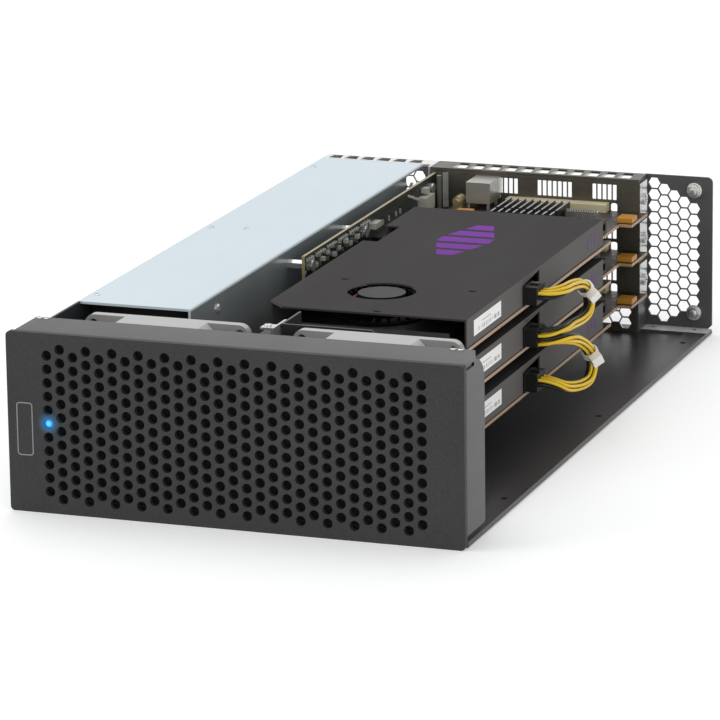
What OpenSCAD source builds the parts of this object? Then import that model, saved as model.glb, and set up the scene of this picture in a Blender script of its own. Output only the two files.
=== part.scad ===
// Open expansion module for three add-in cards, half a rack wide, shown without its outer cover.
// All sub-parts are drawn from the left, front, bottom corner of the front plate and then centred.

/* [Front plate] */
// Width of the front plate
plate_w = 216.5; // [214:0.5:240]
// Height of the front plate
plate_h = 83.6; // [83.6:0.2:95]
// Thickness of the front plate
plate_t = 3; // [2:0.5:5]
// Corner radius of the front plate
plate_r = 2.2; // [1:0.1:4]
// Diameter of the round perforations
perf_d = 4.7; // [3:0.1:5]
// Distance between neighbouring perforations, along a column and across columns
perf_pitch = 6.325; // [6:0.025:6.6]
// Number of columns of perforations
perf_cols = 29; // [15:2:29]
// Number of perforations in a long column
perf_rows = 12; // [6:1:12]

/* [Chassis sheet] */
// Overall depth, from the plate's face to the rear panels
body_d = 402; // [402:1:430]
// Thickness of the chassis sheet
sheet_t = 1.2; // [1:0.1:1.3]
// Height of the base above the plate's lower edge
base_lift = 0.4; // [0.2:0.1:0.6]
// Left side of the chassis, in from the plate's left edge
wall_inset = 7.3; // [6:0.1:9]
// Depth of the front frame's flanges behind the plate
frame_d = 26; // [22:0.5:27]
// Inset of the front frame from the plate's left edge
frame_inset = 2.8; // [2:0.1:3.5]
// Radius of the sheet bends, outside
bend_r = 1.5; // [1.4:0.1:2.5]
// Width of the doubled strip along the right edge of the base
rail_w = 11.4; // [9:0.1:13]
// Thickness of the doubled strip
rail_t = 1.3; // [0.8:0.1:1.6]
// Distance between the mounting holes along the right edge
rail_hole_pitch = 147.2; // [120:0.1:150]
// Radius of the mounting holes along the right edge
rail_hole_r = 1.6; // [1:0.1:2]
// Depth of the recess in which the card brackets stand
recess_d = 15.8; // [14:0.1:18]

/* [Honeycomb] */
// Distance between neighbouring hexagons
hex_pitch = 6.1; // [5.8:0.05:6.3]
// Web left between two hexagons
hex_web = 0.6; // [0.5:0.05:1.5]

/* [Power supply] */
// Width of the power supply cover
psu_w = 55.7; // [50:0.1:58]
// Front edge of the power supply cover, behind the plate's face
psu_y = 66; // [60:0.5:72]
// Distance from the cover's front edge to the supply inside it
psu_setback = 12; // [8:0.5:20]

/* [Fans] */
// Side of the square fan frames
fan_size = 80; // [80:0.1:80.3]
// Depth of the fan frames
fan_d = 25; // [20:0.5:28]
// Front of the fans, behind the plate's face
fan_y = 26.3; // [25:0.1:28]
// Left edge of the left fan
fan_x = 18.6; // [14:0.1:20]
// Gap between the two fans
fan_gap = 21.2; // [18:0.1:24]
// Distance between the screw holes of a fan
fan_hole_pitch = 71.5; // [70:0.1:72]
// Radius of the air bore of a fan
fan_bore_r = 38; // [36:0.1:38.4]
// Radius of the hub of a fan rotor
fan_hub_r = 16; // [13:0.5:18]
// Number of blades of a fan rotor
fan_blades = 7; // [5:1:11]

/* [Backplane and slots] */
// Gap between the supply cover and the backplane board
backplane_gap = 9.4; // [6:0.1:12]
// Length of the backplane board
backplane_len = 195.5; // [190:0.5:210]
// Upper edge of the backplane board
backplane_top = 80.3; // [78:0.1:80.5]
// Thickness of the circuit boards
board_t = 1.57; // [1.4:0.01:1.7]
// Height of the slot connectors above the backplane
slot_h = 11; // [10:0.1:12]
// Length of the slot connectors
slot_len = 60; // [50:0.5:70]

/* [Cards] */
// Underside of the top card's board
card_top_z = 63.8; // [63.2:0.1:64.6]
// Distance between the first and the second card
slot_pitch = 20.32; // [20:0.01:20.8]
// Extra room between the second and the third card
third_gap = 1.6; // [0:0.1:2.2]
// Length of a card's board, from its bracket to the front
card_len = 289.8; // [285:0.1:292]
// Width of a card's board, without the tongue
card_w = 101.1; // [100:0.1:102]
// Height of a card's shroud above its board
shroud_h = 13.6; // [13:0.1:13.8]
// Length of a card's shroud
shroud_len = 213.4; // [205:0.1:218]
// Thickness of the shroud's sheet
shroud_t = 1; // [0.8:0.1:1.2]
// Radius of the blower's opening in the shroud
blower_open_r = 16.2; // [14:0.1:18]
// Radius of the blower's hub
blower_hub_r = 11.2; // [9:0.1:12]
// Outer radius of the blower wheel
blower_r = 21; // [18:0.1:24]
// Number of vanes of the blower wheel
blower_vanes = 23; // [13:2:31]
// Width of a card bracket
bracket_w = 18.4; // [17.5:0.1:18.6]
// Thickness of a card bracket
bracket_t = 1; // [0.8:0.1:1.2]

/* [Harness] */
// Outer radius of a wire
wire_r = 0.8; // [0.6:0.05:0.85]
// Distance between the contacts of a power plug
contact_pitch = 4.2; // [4.2:0.05:4.3]

/* [Hidden] */
$fn = 48;
SEAT = 0.3;
RUN = 0.05;

wall_top = plate_h - 1.5;
flange_top = wall_top + sheet_t;
flange_y = plate_t + frame_d;
frame_right = plate_w - 0.3;
base_top = base_lift + sheet_t;
rail_top = base_top + rail_t;
rail_x = plate_w - 0.1 - rail_w;
rail_hole_x = plate_w - 6.3;
web_y = plate_t + sheet_t;
web_margin_x = 14.2;
web_margin_z = 4.8;
panel_y = body_d - sheet_t;
wall_y = body_d - recess_d;
bracket_y = wall_y - bracket_t;
hex_col = hex_pitch * cos(30);
hex_r = (hex_pitch - hex_web) / 2 / cos(30);

relief_h = 1.8;
relief_y = plate_t + 11.7;
ear_r = 12;
side_bottom = rail_top + 2.6;

psu_right = wall_inset + psu_w;
psu_rear = body_d - 10.5;
psu_body_y = psu_y + psu_setback;
psu_wall_end = body_d - 36;
psu_body_end = body_d - 42;
psu_screw_pitch = (psu_rear - psu_y - 36.3) / 2;
psu_gap = 0.5;
inlet_w = 28;
inlet_h = 20;
inlet_d = 14;
inlet_x = wall_inset + 8;
inlet_z = base_top + 8;

jog_left = psu_right + 4.8;
recess_left = jog_left + sheet_t;
backplane_x = psu_right + backplane_gap;
backplane_y = bracket_y - 3.7 - backplane_len;
backplane_z = base_top + 1.6;
backplane_right = backplane_x + board_t;

card_x = backplane_right + slot_h + 0.3;
card_right = card_x + card_w;
card_front = bracket_y - card_len;
card_z = [card_top_z, card_top_z - slot_pitch, card_top_z - 2 * slot_pitch - third_gap];
jog_right = card_right - 6.1;
slot_y0 = bracket_y - 103.2;
slot_wall = 2;
tongue_len = 8.25;
tongue_inset = 0.3;
edge_notch_d = 6.6;
key_y = slot_y0 + slot_len - 14;

shroud_x = card_x + 2;
shroud_w = card_w - 2.5;
shroud_right = shroud_x + shroud_w;
shroud_chamfer = 9.2;
shroud_rear = card_front + shroud_len;
header_y = shroud_rear + 3.4;
header_len = 24;
capacitor_y = (header_y + header_len + bracket_y) / 2 - 1.3;
blower_x = shroud_x + 43.4;
blower_y = card_front + 40.9;
cooler_t = 2;
spindle_r = 1.5;
spindle_h = 6;
socket_y = card_front + 83.2;
socket_len = 3 * contact_pitch + 0.6;
socket_h = 2 * contact_pitch + 1.2;
socket_d = 10.4;
socket_right = card_right + 0.4;
plug_d = 6;
plug_right = socket_right + plug_d;
notch_len = 26.2;
notch_h = 11.9;
notch_slope = 2;

vent_w = 2;
vent_pitch = 2.72;
vent_z = 7.2;
vent_h = 8;
bracket_drop = 1.9;
port_x = card_x + 9.2;
port_w = 13;
port_d = 17;
port_lift = 4.7;
port_h = 11;

support_x = fan_x + fan_size + fan_gap - 8.8;
support_y = fan_y + fan_d + 3.7;
support_w = 45;
support_d = 24;

// Stations of the harness loops, from the plug of one card to the plug of the next:
// distance out from the plug, distance rearward of the plug, and share of the drop
LOOP_A = [[0, 0, 0], [3, 0.5, 0], [6, 3, -0.01], [8.5, 9.5, -0.02], [7.5, 23, 0.05], [7.5, 35.5, 0.15],
          [7, 46, 0.33], [7.5, 51, 0.55], [8, 51.5, 0.8], [8, 47, 0.98], [7.5, 38, 1.04], [8, 22, 0.96],
          [8.5, 9.5, 0.9], [6, 3, 0.89], [3, 0.5, 0.9], [0, 0, 0.9]];
LOOP_B = [[0, 0, 0.1], [3.5, 0.5, 0.1], [7, 2.5, 0.1], [10.5, 8, 0.12], [12, 17.5, 0.24], [12, 31, 0.51],
          [12.5, 38, 0.76], [13, 40, 1], [13, 38, 1.22], [12.5, 33, 1.34], [11.5, 21.5, 1.32],
          [10, 8, 1.2], [7, 2.5, 1.08], [3.5, 0.5, 1.02], [0, 0, 1]];
LOOPS = [LOOP_A, LOOP_B];
loop_steps = 3;
contact_row = 1.2;
bundle_r = 2.1;
tie_stations = [0.42, 0.42];
// Side of the bundle on which a tie's head sits
TIE_SIDE = [0.6, -0.8, 0];

// Puts a sub-part into the model's frame, centred on its width and depth
module place() {
    translate([-plate_w / 2, -body_d / 2, 0]) children();
}

// Extrudes an outline drawn in x and z along y, from y0 over a depth
module slab_y(y0, depth) {
    translate([0, y0 + depth, 0]) rotate([90, 0, 0]) linear_extrude(depth) children();
}

// Extrudes an outline drawn in y and z along x, from x0 over a width
module slab_x(x0, width) {
    translate([x0, 0, 0]) rotate([90, 0, 90]) linear_extrude(width) children();
}

// Extrudes an outline drawn in x and y along z, from z0 over a height
module slab_z(z0, height) {
    translate([0, 0, z0]) linear_extrude(height) children();
}

// Rectangle from one corner to the opposite one
module rect2(a, b) {
    translate(a) square(b - a);
}

// Rectangle with four round corners, from one corner to the opposite one
module round_rect2(a, b, r) {
    rect2(a + [r, 0], b - [r, 0]);
    rect2(a + [0, r], b - [0, r]);
    for (x = [a.x + r, b.x - r], y = [a.y + r, b.y - r])
        translate([x, y]) circle(r);
}

// Block from one corner to the opposite one
module block(a, b) {
    translate(a) cube(b - a);
}

// Honeycomb of flat-topped hexagons; counts lists the hexagons of each column,
// bottoms lists the height of each column's lowest one
module honeycomb2(x0, counts, bottoms) {
    for (i = [0 : len(counts) - 1], j = [0 : counts[i] - 1])
        translate([x0 + i * hex_col, bottoms[i] + j * hex_pitch]) circle(hex_r, $fn = 6);
}

// Quarter bend of sheet round the origin, between the directions +x and +y
module bend2(inner_r, outer_r) {
    intersection() {
        difference() {
            circle(outer_r);
            circle(inner_r);
        }
        square(outer_r);
    }
}

// Round holes of the front plate, in columns staggered by half a pitch
module perforations2() {
    mid = (perf_cols - 1) / 2;
    for (i = [0 : perf_cols - 1]) {
        rows = perf_rows - (1 - i % 2);
        for (j = [0 : rows - 1])
            translate([plate_w / 2 + (i - mid) * perf_pitch, plate_h / 2 + (j - (rows - 1) / 2) * perf_pitch])
                circle(d = perf_d, $fn = 32);
    }
}

module front_plate() {
    color([0.23, 0.23, 0.235]) place() slab_y(0, plate_t) difference() {
        round_rect2([0, 0], [plate_w, plate_h], plate_r);
        perforations2();
    }
}

// Outline of a side flange of the frame, in y and z, with its relief window and round ear
module side_flange2() {
    y0 = plate_t + bend_r;
    difference() {
        union() {
            rect2([y0, side_bottom], [flange_y - ear_r, wall_top]);
            rect2([y0, side_bottom + 2], [flange_y, wall_top - ear_r]);
            rect2([y0, side_bottom], [flange_y - 2, wall_top - ear_r]);
            translate([flange_y - 2, side_bottom + 2]) circle(2);
            intersection() {
                translate([flange_y - ear_r, wall_top - ear_r]) circle(ear_r);
                rect2([flange_y - ear_r, wall_top - ear_r], [flange_y, wall_top]);
            }
        }
        rect2([0, wall_top - relief_h], [relief_y, wall_top + 1]);
    }
}

// Side flange with its bend into the web, for a flange whose outer face is at x = 0
module side_flange() {
    slab_x(-sheet_t, sheet_t) side_flange2();
    slab_z(side_bottom, wall_top - relief_h - side_bottom)
        translate([-bend_r, plate_t + bend_r]) mirror([0, 1]) bend2(bend_r - sheet_t, bend_r);
}

module front_frame() {
    web_left = frame_inset + bend_r;
    web_right = frame_right - bend_r;
    color([0.47, 0.47, 0.48]) place() {
        slab_y(plate_t, sheet_t) difference() {
            union() {
                rect2([web_left, side_bottom], [web_right, wall_top - relief_h]);
                rect2([frame_inset, wall_top - relief_h], [frame_right, flange_top - bend_r]);
                rect2([web_left, base_lift + 0.6], [web_right, side_bottom]);
            }
            round_rect2([web_margin_x, base_top + web_margin_z],
                        [plate_w - web_margin_x, wall_top - web_margin_z], 4);
        }
        slab_x(frame_inset, frame_right - frame_inset)
            translate([plate_t + bend_r, flange_top - bend_r]) mirror([1, 0])
                bend2(bend_r - sheet_t, bend_r);
        slab_z(wall_top, sheet_t) polygon([
            [frame_inset, plate_t + bend_r], [frame_right, plate_t + bend_r],
            [frame_right, flange_y - ear_r], [frame_right - 4.2, flange_y], [frame_inset, flange_y]]);
        block([wall_inset + sheet_t + 0.6, web_y, base_top],
              [rail_x - 0.6, fan_y - 2.3, base_top + sheet_t]);
        translate([frame_right, 0, 0]) side_flange();
        translate([frame_inset, 0, 0]) mirror([1, 0, 0]) side_flange();
    }
}

// Places of the mounting holes along the right edge of the base
module rail_holes(z0, height) {
    for (i = [-1 : 1])
        translate([rail_hole_x, body_d / 2 + 20.1 + i * rail_hole_pitch, z0 - 1])
            cylinder(r = rail_hole_r, h = height + 2);
}

module base_tray() {
    color([0.2, 0.19, 0.2]) place() difference() {
        block([wall_inset, web_y, base_lift], [plate_w - 0.1, body_d, base_top]);
        rail_holes(base_lift, sheet_t);
    }
}

module base_rail() {
    color([0.21, 0.2, 0.21]) place() difference() {
        block([rail_x, web_y, base_top], [plate_w - 0.1, panel_y - 10.8, rail_top]);
        rail_holes(base_top, rail_t);
    }
}

module left_wall() {
    color([0.19, 0.2, 0.22]) place() {
        block([wall_inset, web_y, base_top], [wall_inset + sheet_t, panel_y, wall_top - sheet_t]);
        block([wall_inset, web_y, wall_top - sheet_t], [wall_inset + sheet_t, psu_y, wall_top]);
    }
}

module rear_panel_right() {
    right = plate_w - 0.1;
    top = wall_top + 0.2;
    counts = [12, 12, 11, 10, 9];
    low = base_top + 9.1;
    bottoms = [for (i = [0 : 4]) low + (i == 0 ? 0 : (i - 2) * hex_pitch / 2)];
    color([0.3, 0.3, 0.32]) place() {
        slab_y(panel_y, sheet_t) difference() {
            union() {
                rect2([jog_right, base_top], [right - 3, top]);
                rect2([jog_right, base_top + 3], [right, top - 3]);
                translate([right - 3, top - 3]) circle(3);
                polygon([[right - 3, base_top], [right, base_top + 3], [right - 3, base_top + 3]]);
            }
            honeycomb2(jog_right + 5.2, counts, bottoms);
            for (z = [top - 7, base_top + 9.3])
                translate([right - 9.4, z]) circle(2.2);
        }
        block([jog_right, wall_y, base_top], [jog_right + sheet_t, panel_y, top]);
        difference() {
            block([jog_right + sheet_t, panel_y - 10.3, base_top], [right, panel_y, base_top + sheet_t]);
            for (x = [jog_right + 6, right - 8])
                translate([x, panel_y - 4, base_top - 1]) cylinder(r = 1, h = sheet_t + 2, $fn = 24);
        }
    }
}

// Row of tapered cut-outs in a rear top flange, of the given depth
module flange_slots2(x0, count, y0, depth) {
    for (i = [0 : count - 1])
        translate([x0 + i * 8.85, y0]) polygon([[-3.5, 0], [3.5, 0], [2.6, depth], [-2.6, depth]]);
}

// Upper part of the recessed wall, with a window for each card's bracket
module rear_wall() {
    color([0.33, 0.32, 0.3]) place() slab_y(wall_y, sheet_t) difference() {
        rect2([recess_left, card_z[2] + 0.5], [jog_right, wall_top]);
        for (z = card_z)
            rect2([card_x - 1, z + 0.5], [jog_right - 4, z + 16]);
    }
}

// Lower part of the recessed wall, with its honeycomb and the openings of the data ports
module rear_vents() {
    cols = floor((jog_right - recess_left - 25) / hex_col);
    hex_x = jog_right - 2.6 - hex_r - (cols - 1) * hex_col;
    color([0.33, 0.32, 0.3]) place() slab_y(wall_y, sheet_t) difference() {
        rect2([recess_left, base_top], [jog_right, card_z[2] + 0.5]);
        honeycomb2(hex_x, [for (i = [1 : cols]) 2],
                   [for (i = [1 : cols]) base_top + 4.8 + (i % 2) * hex_pitch / 2]);
        for (x = [4.6, 16.4])
            rect2([backplane_right + x - 0.2, base_top + 5], [backplane_right + x + 9.2, base_top + 8.8]);
    }
}

// Slotted flange along the top of the recessed wall
module rear_flange() {
    color([0.33, 0.32, 0.3]) place() slab_z(wall_top - sheet_t, sheet_t) difference() {
        rect2([recess_left, wall_y + sheet_t], [jog_right, body_d]);
        flange_slots2(recess_left + 15, 11, wall_y + sheet_t + 1.4, 11);
    }
}

module rear_panel_left() {
    cols = floor((psu_w - 6) / hex_col);
    color([0.62, 0.66, 0.7]) place() {
        slab_y(panel_y, sheet_t) difference() {
            rect2([wall_inset, base_top], [jog_left + sheet_t, wall_top - sheet_t]);
            honeycomb2(wall_inset + 8.7, [for (i = [1 : cols]) 7 - i % 2],
                       [for (i = [1 : cols]) base_top + 38.3 + (i % 2) * hex_pitch / 2]);
            rect2([inlet_x, inlet_z], [inlet_x + inlet_w, inlet_z + inlet_h]);
        }
        slab_z(wall_top - sheet_t, sheet_t) difference() {
            rect2([wall_inset, psu_rear + SEAT], [jog_left, body_d]);
            flange_slots2(wall_inset + 6.3, 6, psu_rear + SEAT + 1.8, 6.8);
        }
        block([jog_left, wall_y, base_top], [jog_left + sheet_t, panel_y, wall_top]);
    }
}

// Screw with a low domed head that stands on z = 0
module low_screw(r, h) {
    difference() {
        intersection() {
            cylinder(r = r, h = h, $fn = 32);
            translate([0, 0, h - 2 * r]) sphere(2 * r, $fn = 32);
        }
        translate([0, 0, h - 0.3]) cube([0.5, r * 1.3, 0.8], center = true);
        translate([0, 0, h - 0.3]) cube([r * 1.3, 0.5, 0.8], center = true);
    }
}

module frame_screws() {
    color("silver") place() {
        for (x = [frame_inset + 2.6, frame_inset + 6])
            translate([x, flange_y - 2.6, flange_top]) low_screw(1.4, 0.8);
        for (x = [frame_right - 13.6, frame_right - 10.2])
            translate([x, flange_y - 2, flange_top]) low_screw(1.4, 0.8);
    }
}

module captive_screws() {
    color("silver") place()
        for (z = [wall_top - 6.8, base_top + 9.3])
            translate([plate_w - 9.5, panel_y, z]) rotate([90, 0, 0]) {
                difference() {
                    cylinder(r = 4, h = 2.4, $fn = 48);
                    translate([0, 0, 1]) cylinder(r = 3.1, h = 2, $fn = 48);
                }
                translate([0, 0, -sheet_t]) cylinder(r = 2.15, h = sheet_t + 4.4, $fn = 32);
            }
}

module status_light() {
    color([0.25, 0.7, 1]) place()
        translate([plate_w / 2 - (perf_cols - 1) / 2 * perf_pitch, 1, plate_h / 2]) rotate([-90, 0, 0])
            cylinder(r = perf_d / 2 - 0.25, h = web_y - 1, $fn = 32);
}

module light_holder() {
    light_x = plate_w / 2 - (perf_cols - 1) / 2 * perf_pitch;
    color([0.1, 0.1, 0.1]) place()
        block([web_margin_x - 3, web_y, plate_h / 2 - 4], [light_x + 3.4, web_y + 5, plate_h / 2 + 4]);
}

module psu_cover() {
    color([0.82, 0.86, 0.9]) place() {
        block([wall_inset, psu_y, wall_top - sheet_t], [psu_right - bend_r, psu_rear, wall_top]);
        slab_y(psu_y, psu_rear - psu_y) translate([psu_right - bend_r, wall_top - bend_r])
            bend2(bend_r - sheet_t, bend_r);
        block([psu_right - sheet_t, psu_y, base_top], [psu_right, psu_wall_end, wall_top - bend_r]);
    }
}

module psu_unit() {
    x0 = wall_inset + sheet_t + psu_gap;
    x1 = psu_right - sheet_t - psu_gap;
    top = wall_top - sheet_t - psu_gap;
    slots = 8;
    pitch = (x1 - x0 - 10) / slots;
    color([0.16, 0.16, 0.18]) place() difference() {
        block([x0, psu_body_y, base_top], [x1, psu_body_end, top]);
        for (i = [0 : slots - 1])
            block([x0 + 5 + (i + 0.2) * pitch, psu_body_y - 1, base_top + 8],
                  [x0 + 5 + (i + 0.8) * pitch, psu_body_y + 4, top - 8]);
    }
}

module psu_screws() {
    color([0.75, 0.78, 0.8]) place() {
        for (i = [0 : 2])
            translate([wall_inset + 3.8, psu_y + 13.5 + i * psu_screw_pitch, wall_top])
                low_screw(1.5, 0.7);
        translate([psu_right, psu_y + 33, wall_top - 7.6]) rotate([0, 90, 0]) low_screw(2.4, 1.3);
        for (y = [0, 3.4])
            translate([wall_inset + 21, psu_y + 159 + y, wall_top]) low_screw(1, 0.4);
    }
}

module mains_inlet() {
    mid = [inlet_x + inlet_w / 2, body_d, inlet_z + inlet_h / 2];
    color([0.08, 0.08, 0.08]) place() {
        slab_y(body_d - inlet_d, inlet_d) difference() {
            rect2([inlet_x, inlet_z], [inlet_x + inlet_w, inlet_z + inlet_h]);
            translate([mid.x, mid.z]) polygon([[-11.5, -7.5], [11.5, -7.5], [11.5, 3.5], [7.5, 7.5],
                                               [-7.5, 7.5], [-11.5, 3.5]]);
        }
        block([inlet_x, body_d - inlet_d, inlet_z], [inlet_x + inlet_w, body_d - inlet_d + 2, inlet_z + inlet_h]);
        slab_y(panel_y - 1.6, 1.6) difference() {
            rect2([inlet_x - 2, inlet_z - 2], [inlet_x + inlet_w + 2, inlet_z + inlet_h + 2]);
            rect2([inlet_x + 0.5, inlet_z + 0.5], [inlet_x + inlet_w - 0.5, inlet_z + inlet_h - 0.5]);
        }
        for (pin = [[-7, -2.5], [0, 2], [7, -2.5]])
            block([mid.x + pin.x - 1, body_d - inlet_d + 2, mid.z + pin.y - 2],
                  [mid.x + pin.x + 1, body_d - 2, mid.z + pin.y + 2]);
    }
}

// Square flange of a fan, from z = 0 upward, centred
module fan_flange() {
    half = fan_size / 2;
    linear_extrude(4.5) difference() {
        round_rect2([-half, -half], [half, half], 5);
        circle(fan_bore_r, $fn = 96);
        for (x = [-1, 1], y = [-1, 1])
            translate([x, y] * fan_hole_pitch / 2) circle(2.15, $fn = 32);
    }
}

// Fan frame with its air axis along z, its intake face at z = 0
module fan_frame() {
    half = fan_size / 2;
    flat = half / 2;
    fan_flange();
    translate([0, 0, fan_d - 4.5]) fan_flange();
    translate([0, 0, 4.5]) linear_extrude(fan_d - 9) difference() {
        polygon([[-flat, -half], [flat, -half], [half, -flat], [half, flat],
                 [flat, half], [-flat, half], [-half, flat], [-half, -flat]]);
        circle(fan_bore_r, $fn = 96);
    }
    translate([0, 0, fan_d - 3]) difference() {
        union() {
            cylinder(r = fan_hub_r + 1, h = 3);
            for (a = [45 : 90 : 315])
                rotate(a) translate([fan_hub_r, -2, 0]) cube([fan_bore_r + 0.4 - fan_hub_r, 4, 3]);
        }
        translate([0, 0, -1]) cylinder(r = 2 + RUN, h = 5);
    }
}

// Fan rotor on the same axis, with its shaft in the frame's rear bearing
module fan_rotor() {
    tip_r = fan_bore_r - 0.8;
    z0 = 2.2;
    span = fan_d - 3 - 0.6 - z0;
    translate([0, 0, z0]) difference() {
        cylinder(r = fan_hub_r, h = span);
        translate([0, 0, -0.4]) cylinder(r = fan_hub_r - 4, h = 1);
    }
    translate([0, 0, z0 + span - 1]) cylinder(r = 2, h = 4.2);
    for (i = [0 : fan_blades - 1])
        rotate(i * 360 / fan_blades) intersection() {
            difference() {
                translate([0, 0, z0 + 1]) cylinder(r = tip_r, h = span - 2);
                translate([0, 0, z0]) cylinder(r = fan_hub_r - 0.8, h = span);
            }
            translate([fan_hub_r - 1, 0, z0 + span / 2]) rotate([38, 0, -8])
                translate([0, -0.8, -span]) cube([tip_r, 1.6, 2 * span]);
        }
}

// Puts a fan piece at its place; side 0 is the left fan, 1 the right one
module at_fan(side) {
    translate([fan_x + fan_size / 2 + side * (fan_size + fan_gap), fan_y, base_top + fan_size / 2])
        rotate([-90, 0, 0]) children();
}

module fan_frame_left() { color([0.68, 0.68, 0.66]) place() at_fan(0) fan_frame(); }
module fan_frame_right() { color([0.68, 0.68, 0.66]) place() at_fan(1) fan_frame(); }
module fan_rotor_left() { color([0.16, 0.16, 0.16]) place() at_fan(0) fan_rotor(); }
module fan_rotor_right() { color([0.16, 0.16, 0.16]) place() at_fan(1) fan_rotor(); }

module support_bracket() {
    top = base_top + fan_size;
    color([0.13, 0.14, 0.16]) place() {
        slab_y(support_y, sheet_t)
            polygon([[support_x, base_top], [support_x + support_w, base_top],
                     [support_x + support_w, top - 1.5], [support_x + support_w - 1.5, top],
                     [support_x, top]]);
        block([support_x, support_y + sheet_t, base_top], [support_x + sheet_t, support_y + support_d, top]);
        block([support_x + sheet_t, support_y + sheet_t, base_top],
              [support_x + support_w, support_y + 13, base_top + sheet_t]);
    }
}

module support_tab() {
    top = base_top + fan_size;
    color([0.8, 0.8, 0.8]) place() {
        block([support_x - 1, support_y - 9, top - 9], [support_x, support_y + 8, top]);
        block([support_x - 6.5, support_y - 9, top - 1], [support_x - 1, support_y - 2, top]);
        translate([support_x - 3.8, support_y - 5.6, top]) low_screw(1.8, 1.2);
    }
}

// Places of the backplane's standoffs, in y and z
STANDOFFS = [for (y = [8, 84, backplane_len - 9], z = [9, backplane_top - backplane_z - 6.3]) [y, z]];

module backplane() {
    color([0.1, 0.16, 0.12]) place() difference() {
        block([backplane_x, backplane_y, backplane_z],
              [backplane_right, backplane_y + backplane_len, backplane_top]);
        for (p = STANDOFFS)
            translate([backplane_x - 1, backplane_y + p.x, backplane_z + p.y]) rotate([0, 90, 0])
                cylinder(r = 1.6, h = board_t + 2, $fn = 32);
    }
}

module backplane_standoffs() {
    color([0.8, 0.8, 0.78]) place()
        for (p = STANDOFFS)
            translate([psu_right, backplane_y + p.x, backplane_z + p.y]) rotate([0, 90, 0]) {
                cylinder(r = 2.4, h = backplane_gap, $fn = 6);
                cylinder(r = 1.55, h = backplane_gap + board_t, $fn = 32);
                translate([0, 0, backplane_gap + board_t]) cylinder(r = 2.8, h = 1.8, $fn = 32);
            }
}

module slot_connectors() {
    color([0.07, 0.07, 0.07]) place() for (z = card_z) {
        mid = z + board_t / 2;
        difference() {
            block([backplane_right, slot_y0, mid - 3.75],
                  [backplane_right + slot_h, slot_y0 + slot_len, mid + 3.75]);
            for (y = [[slot_wall, key_y - slot_y0 - 0.9], [key_y - slot_y0 + 0.9, slot_len - slot_wall]])
                block([backplane_right + 2.6, slot_y0 + y[0], mid - board_t / 2 - 0.15],
                      [backplane_right + slot_h + 1, slot_y0 + y[1], mid + board_t / 2 + 0.15]);
        }
    }
}

module rear_post() {
    color([0.75, 0.72, 0.62]) place()
        translate([backplane_right + 3.5, wall_y - 10.6, base_top])
            cylinder(r = 1.3, h = backplane_top + 0.2 - base_top, $fn = 32);
}

// Block on the backplane's right face: place along y and z, size in x, y and z
module on_backplane(y, z, size) {
    translate([backplane_right, backplane_y + y, z]) cube(size);
}

module backplane_parts() {
    z_row = backplane_top - 8.4;
    color([0.85, 0.85, 0.82]) place() {
        for (i = [0 : 7])
            on_backplane(13 + i * 8.2, z_row + (i % 3) * 1.4, [1.2 + (i % 2) * 0.8, 2.2, 2]);
        for (i = [0 : 11])
            on_backplane(4 + i * 6.1, z_row - 5.2 - (i % 2) * 1.6, [1, 1.4, 1.8]);
        on_backplane(92, z_row + 1.4, [3.6, 9, 3]);
        on_backplane(backplane_len - 30, z_row - 6, [4.6, 14, 7.4]);
        on_backplane(backplane_len - 24, z_row + 2.6, [3, 5, 2.6]);
    }
}

module interface_board() {
    x0 = backplane_right + 5.4;
    color([0.1, 0.2, 0.14]) place() {
        block([x0, wall_y - 46, base_top + 3.6], [x0 + 26, wall_y, base_top + 3.6 + board_t]);
        for (x = [x0 + 4, x0 + 22], y = [wall_y - 42, wall_y - 16])
            translate([x, y, base_top]) cylinder(r = 2, h = 3.6, $fn = 24);
    }
}

module data_ports() {
    z0 = base_top + 3.6 + board_t;
    color([0.75, 0.75, 0.76]) place()
        for (x = [4.6, 16.4])
            difference() {
                block([backplane_right + x, wall_y - 8, z0], [backplane_right + x + 9, wall_y + 2.6, z0 + 3.3]);
                block([backplane_right + x + 0.4, wall_y - 6, z0 + 0.4],
                      [backplane_right + x + 8.6, wall_y + 3, z0 + 2.9]);
            }
}

// Outline of a card's board with its keyed edge tongue, in x and y
module board2() {
    difference() {
        union() {
            rect2([card_x, card_front], [card_right, bracket_y]);
            rect2([card_x - tongue_len, slot_y0 + slot_wall + tongue_inset],
                  [card_x, slot_y0 + slot_len - slot_wall - tongue_inset]);
        }
        rect2([card_x - tongue_len - 1, key_y - 1.2], [card_x - 0.3, key_y + 1.2]);
        rect2([card_right - edge_notch_d, card_front + 225.5], [card_right + 1, card_front + 262]);
    }
}

module card_board(k) {
    color([0.55, 0.42, 0.28]) place() slab_z(card_z[k], board_t) board2();
}

// Outline of a shroud's top, in x and y, with its cut-outs
module shroud_top2() {
    c = shroud_chamfer;
    difference() {
        polygon([[shroud_x, card_front + c], [shroud_x + c, card_front], [shroud_right, card_front],
                 [shroud_right, shroud_rear], [shroud_x, shroud_rear]]);
        rect2([shroud_x - 1, card_front + 136], [shroud_x + 7.5, card_front + 169.5]);
        translate([blower_x, blower_y]) circle(blower_open_r, $fn = 96);
        for (p = [[shroud_x + 18.6, card_front + 58.4], [shroud_x + 54, card_front + 3.6],
                  [shroud_right - 15, card_front + 52.8]])
            rect2(p - [1.8, 1.1], p + [1.8, 1.1]);
    }
}

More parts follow.
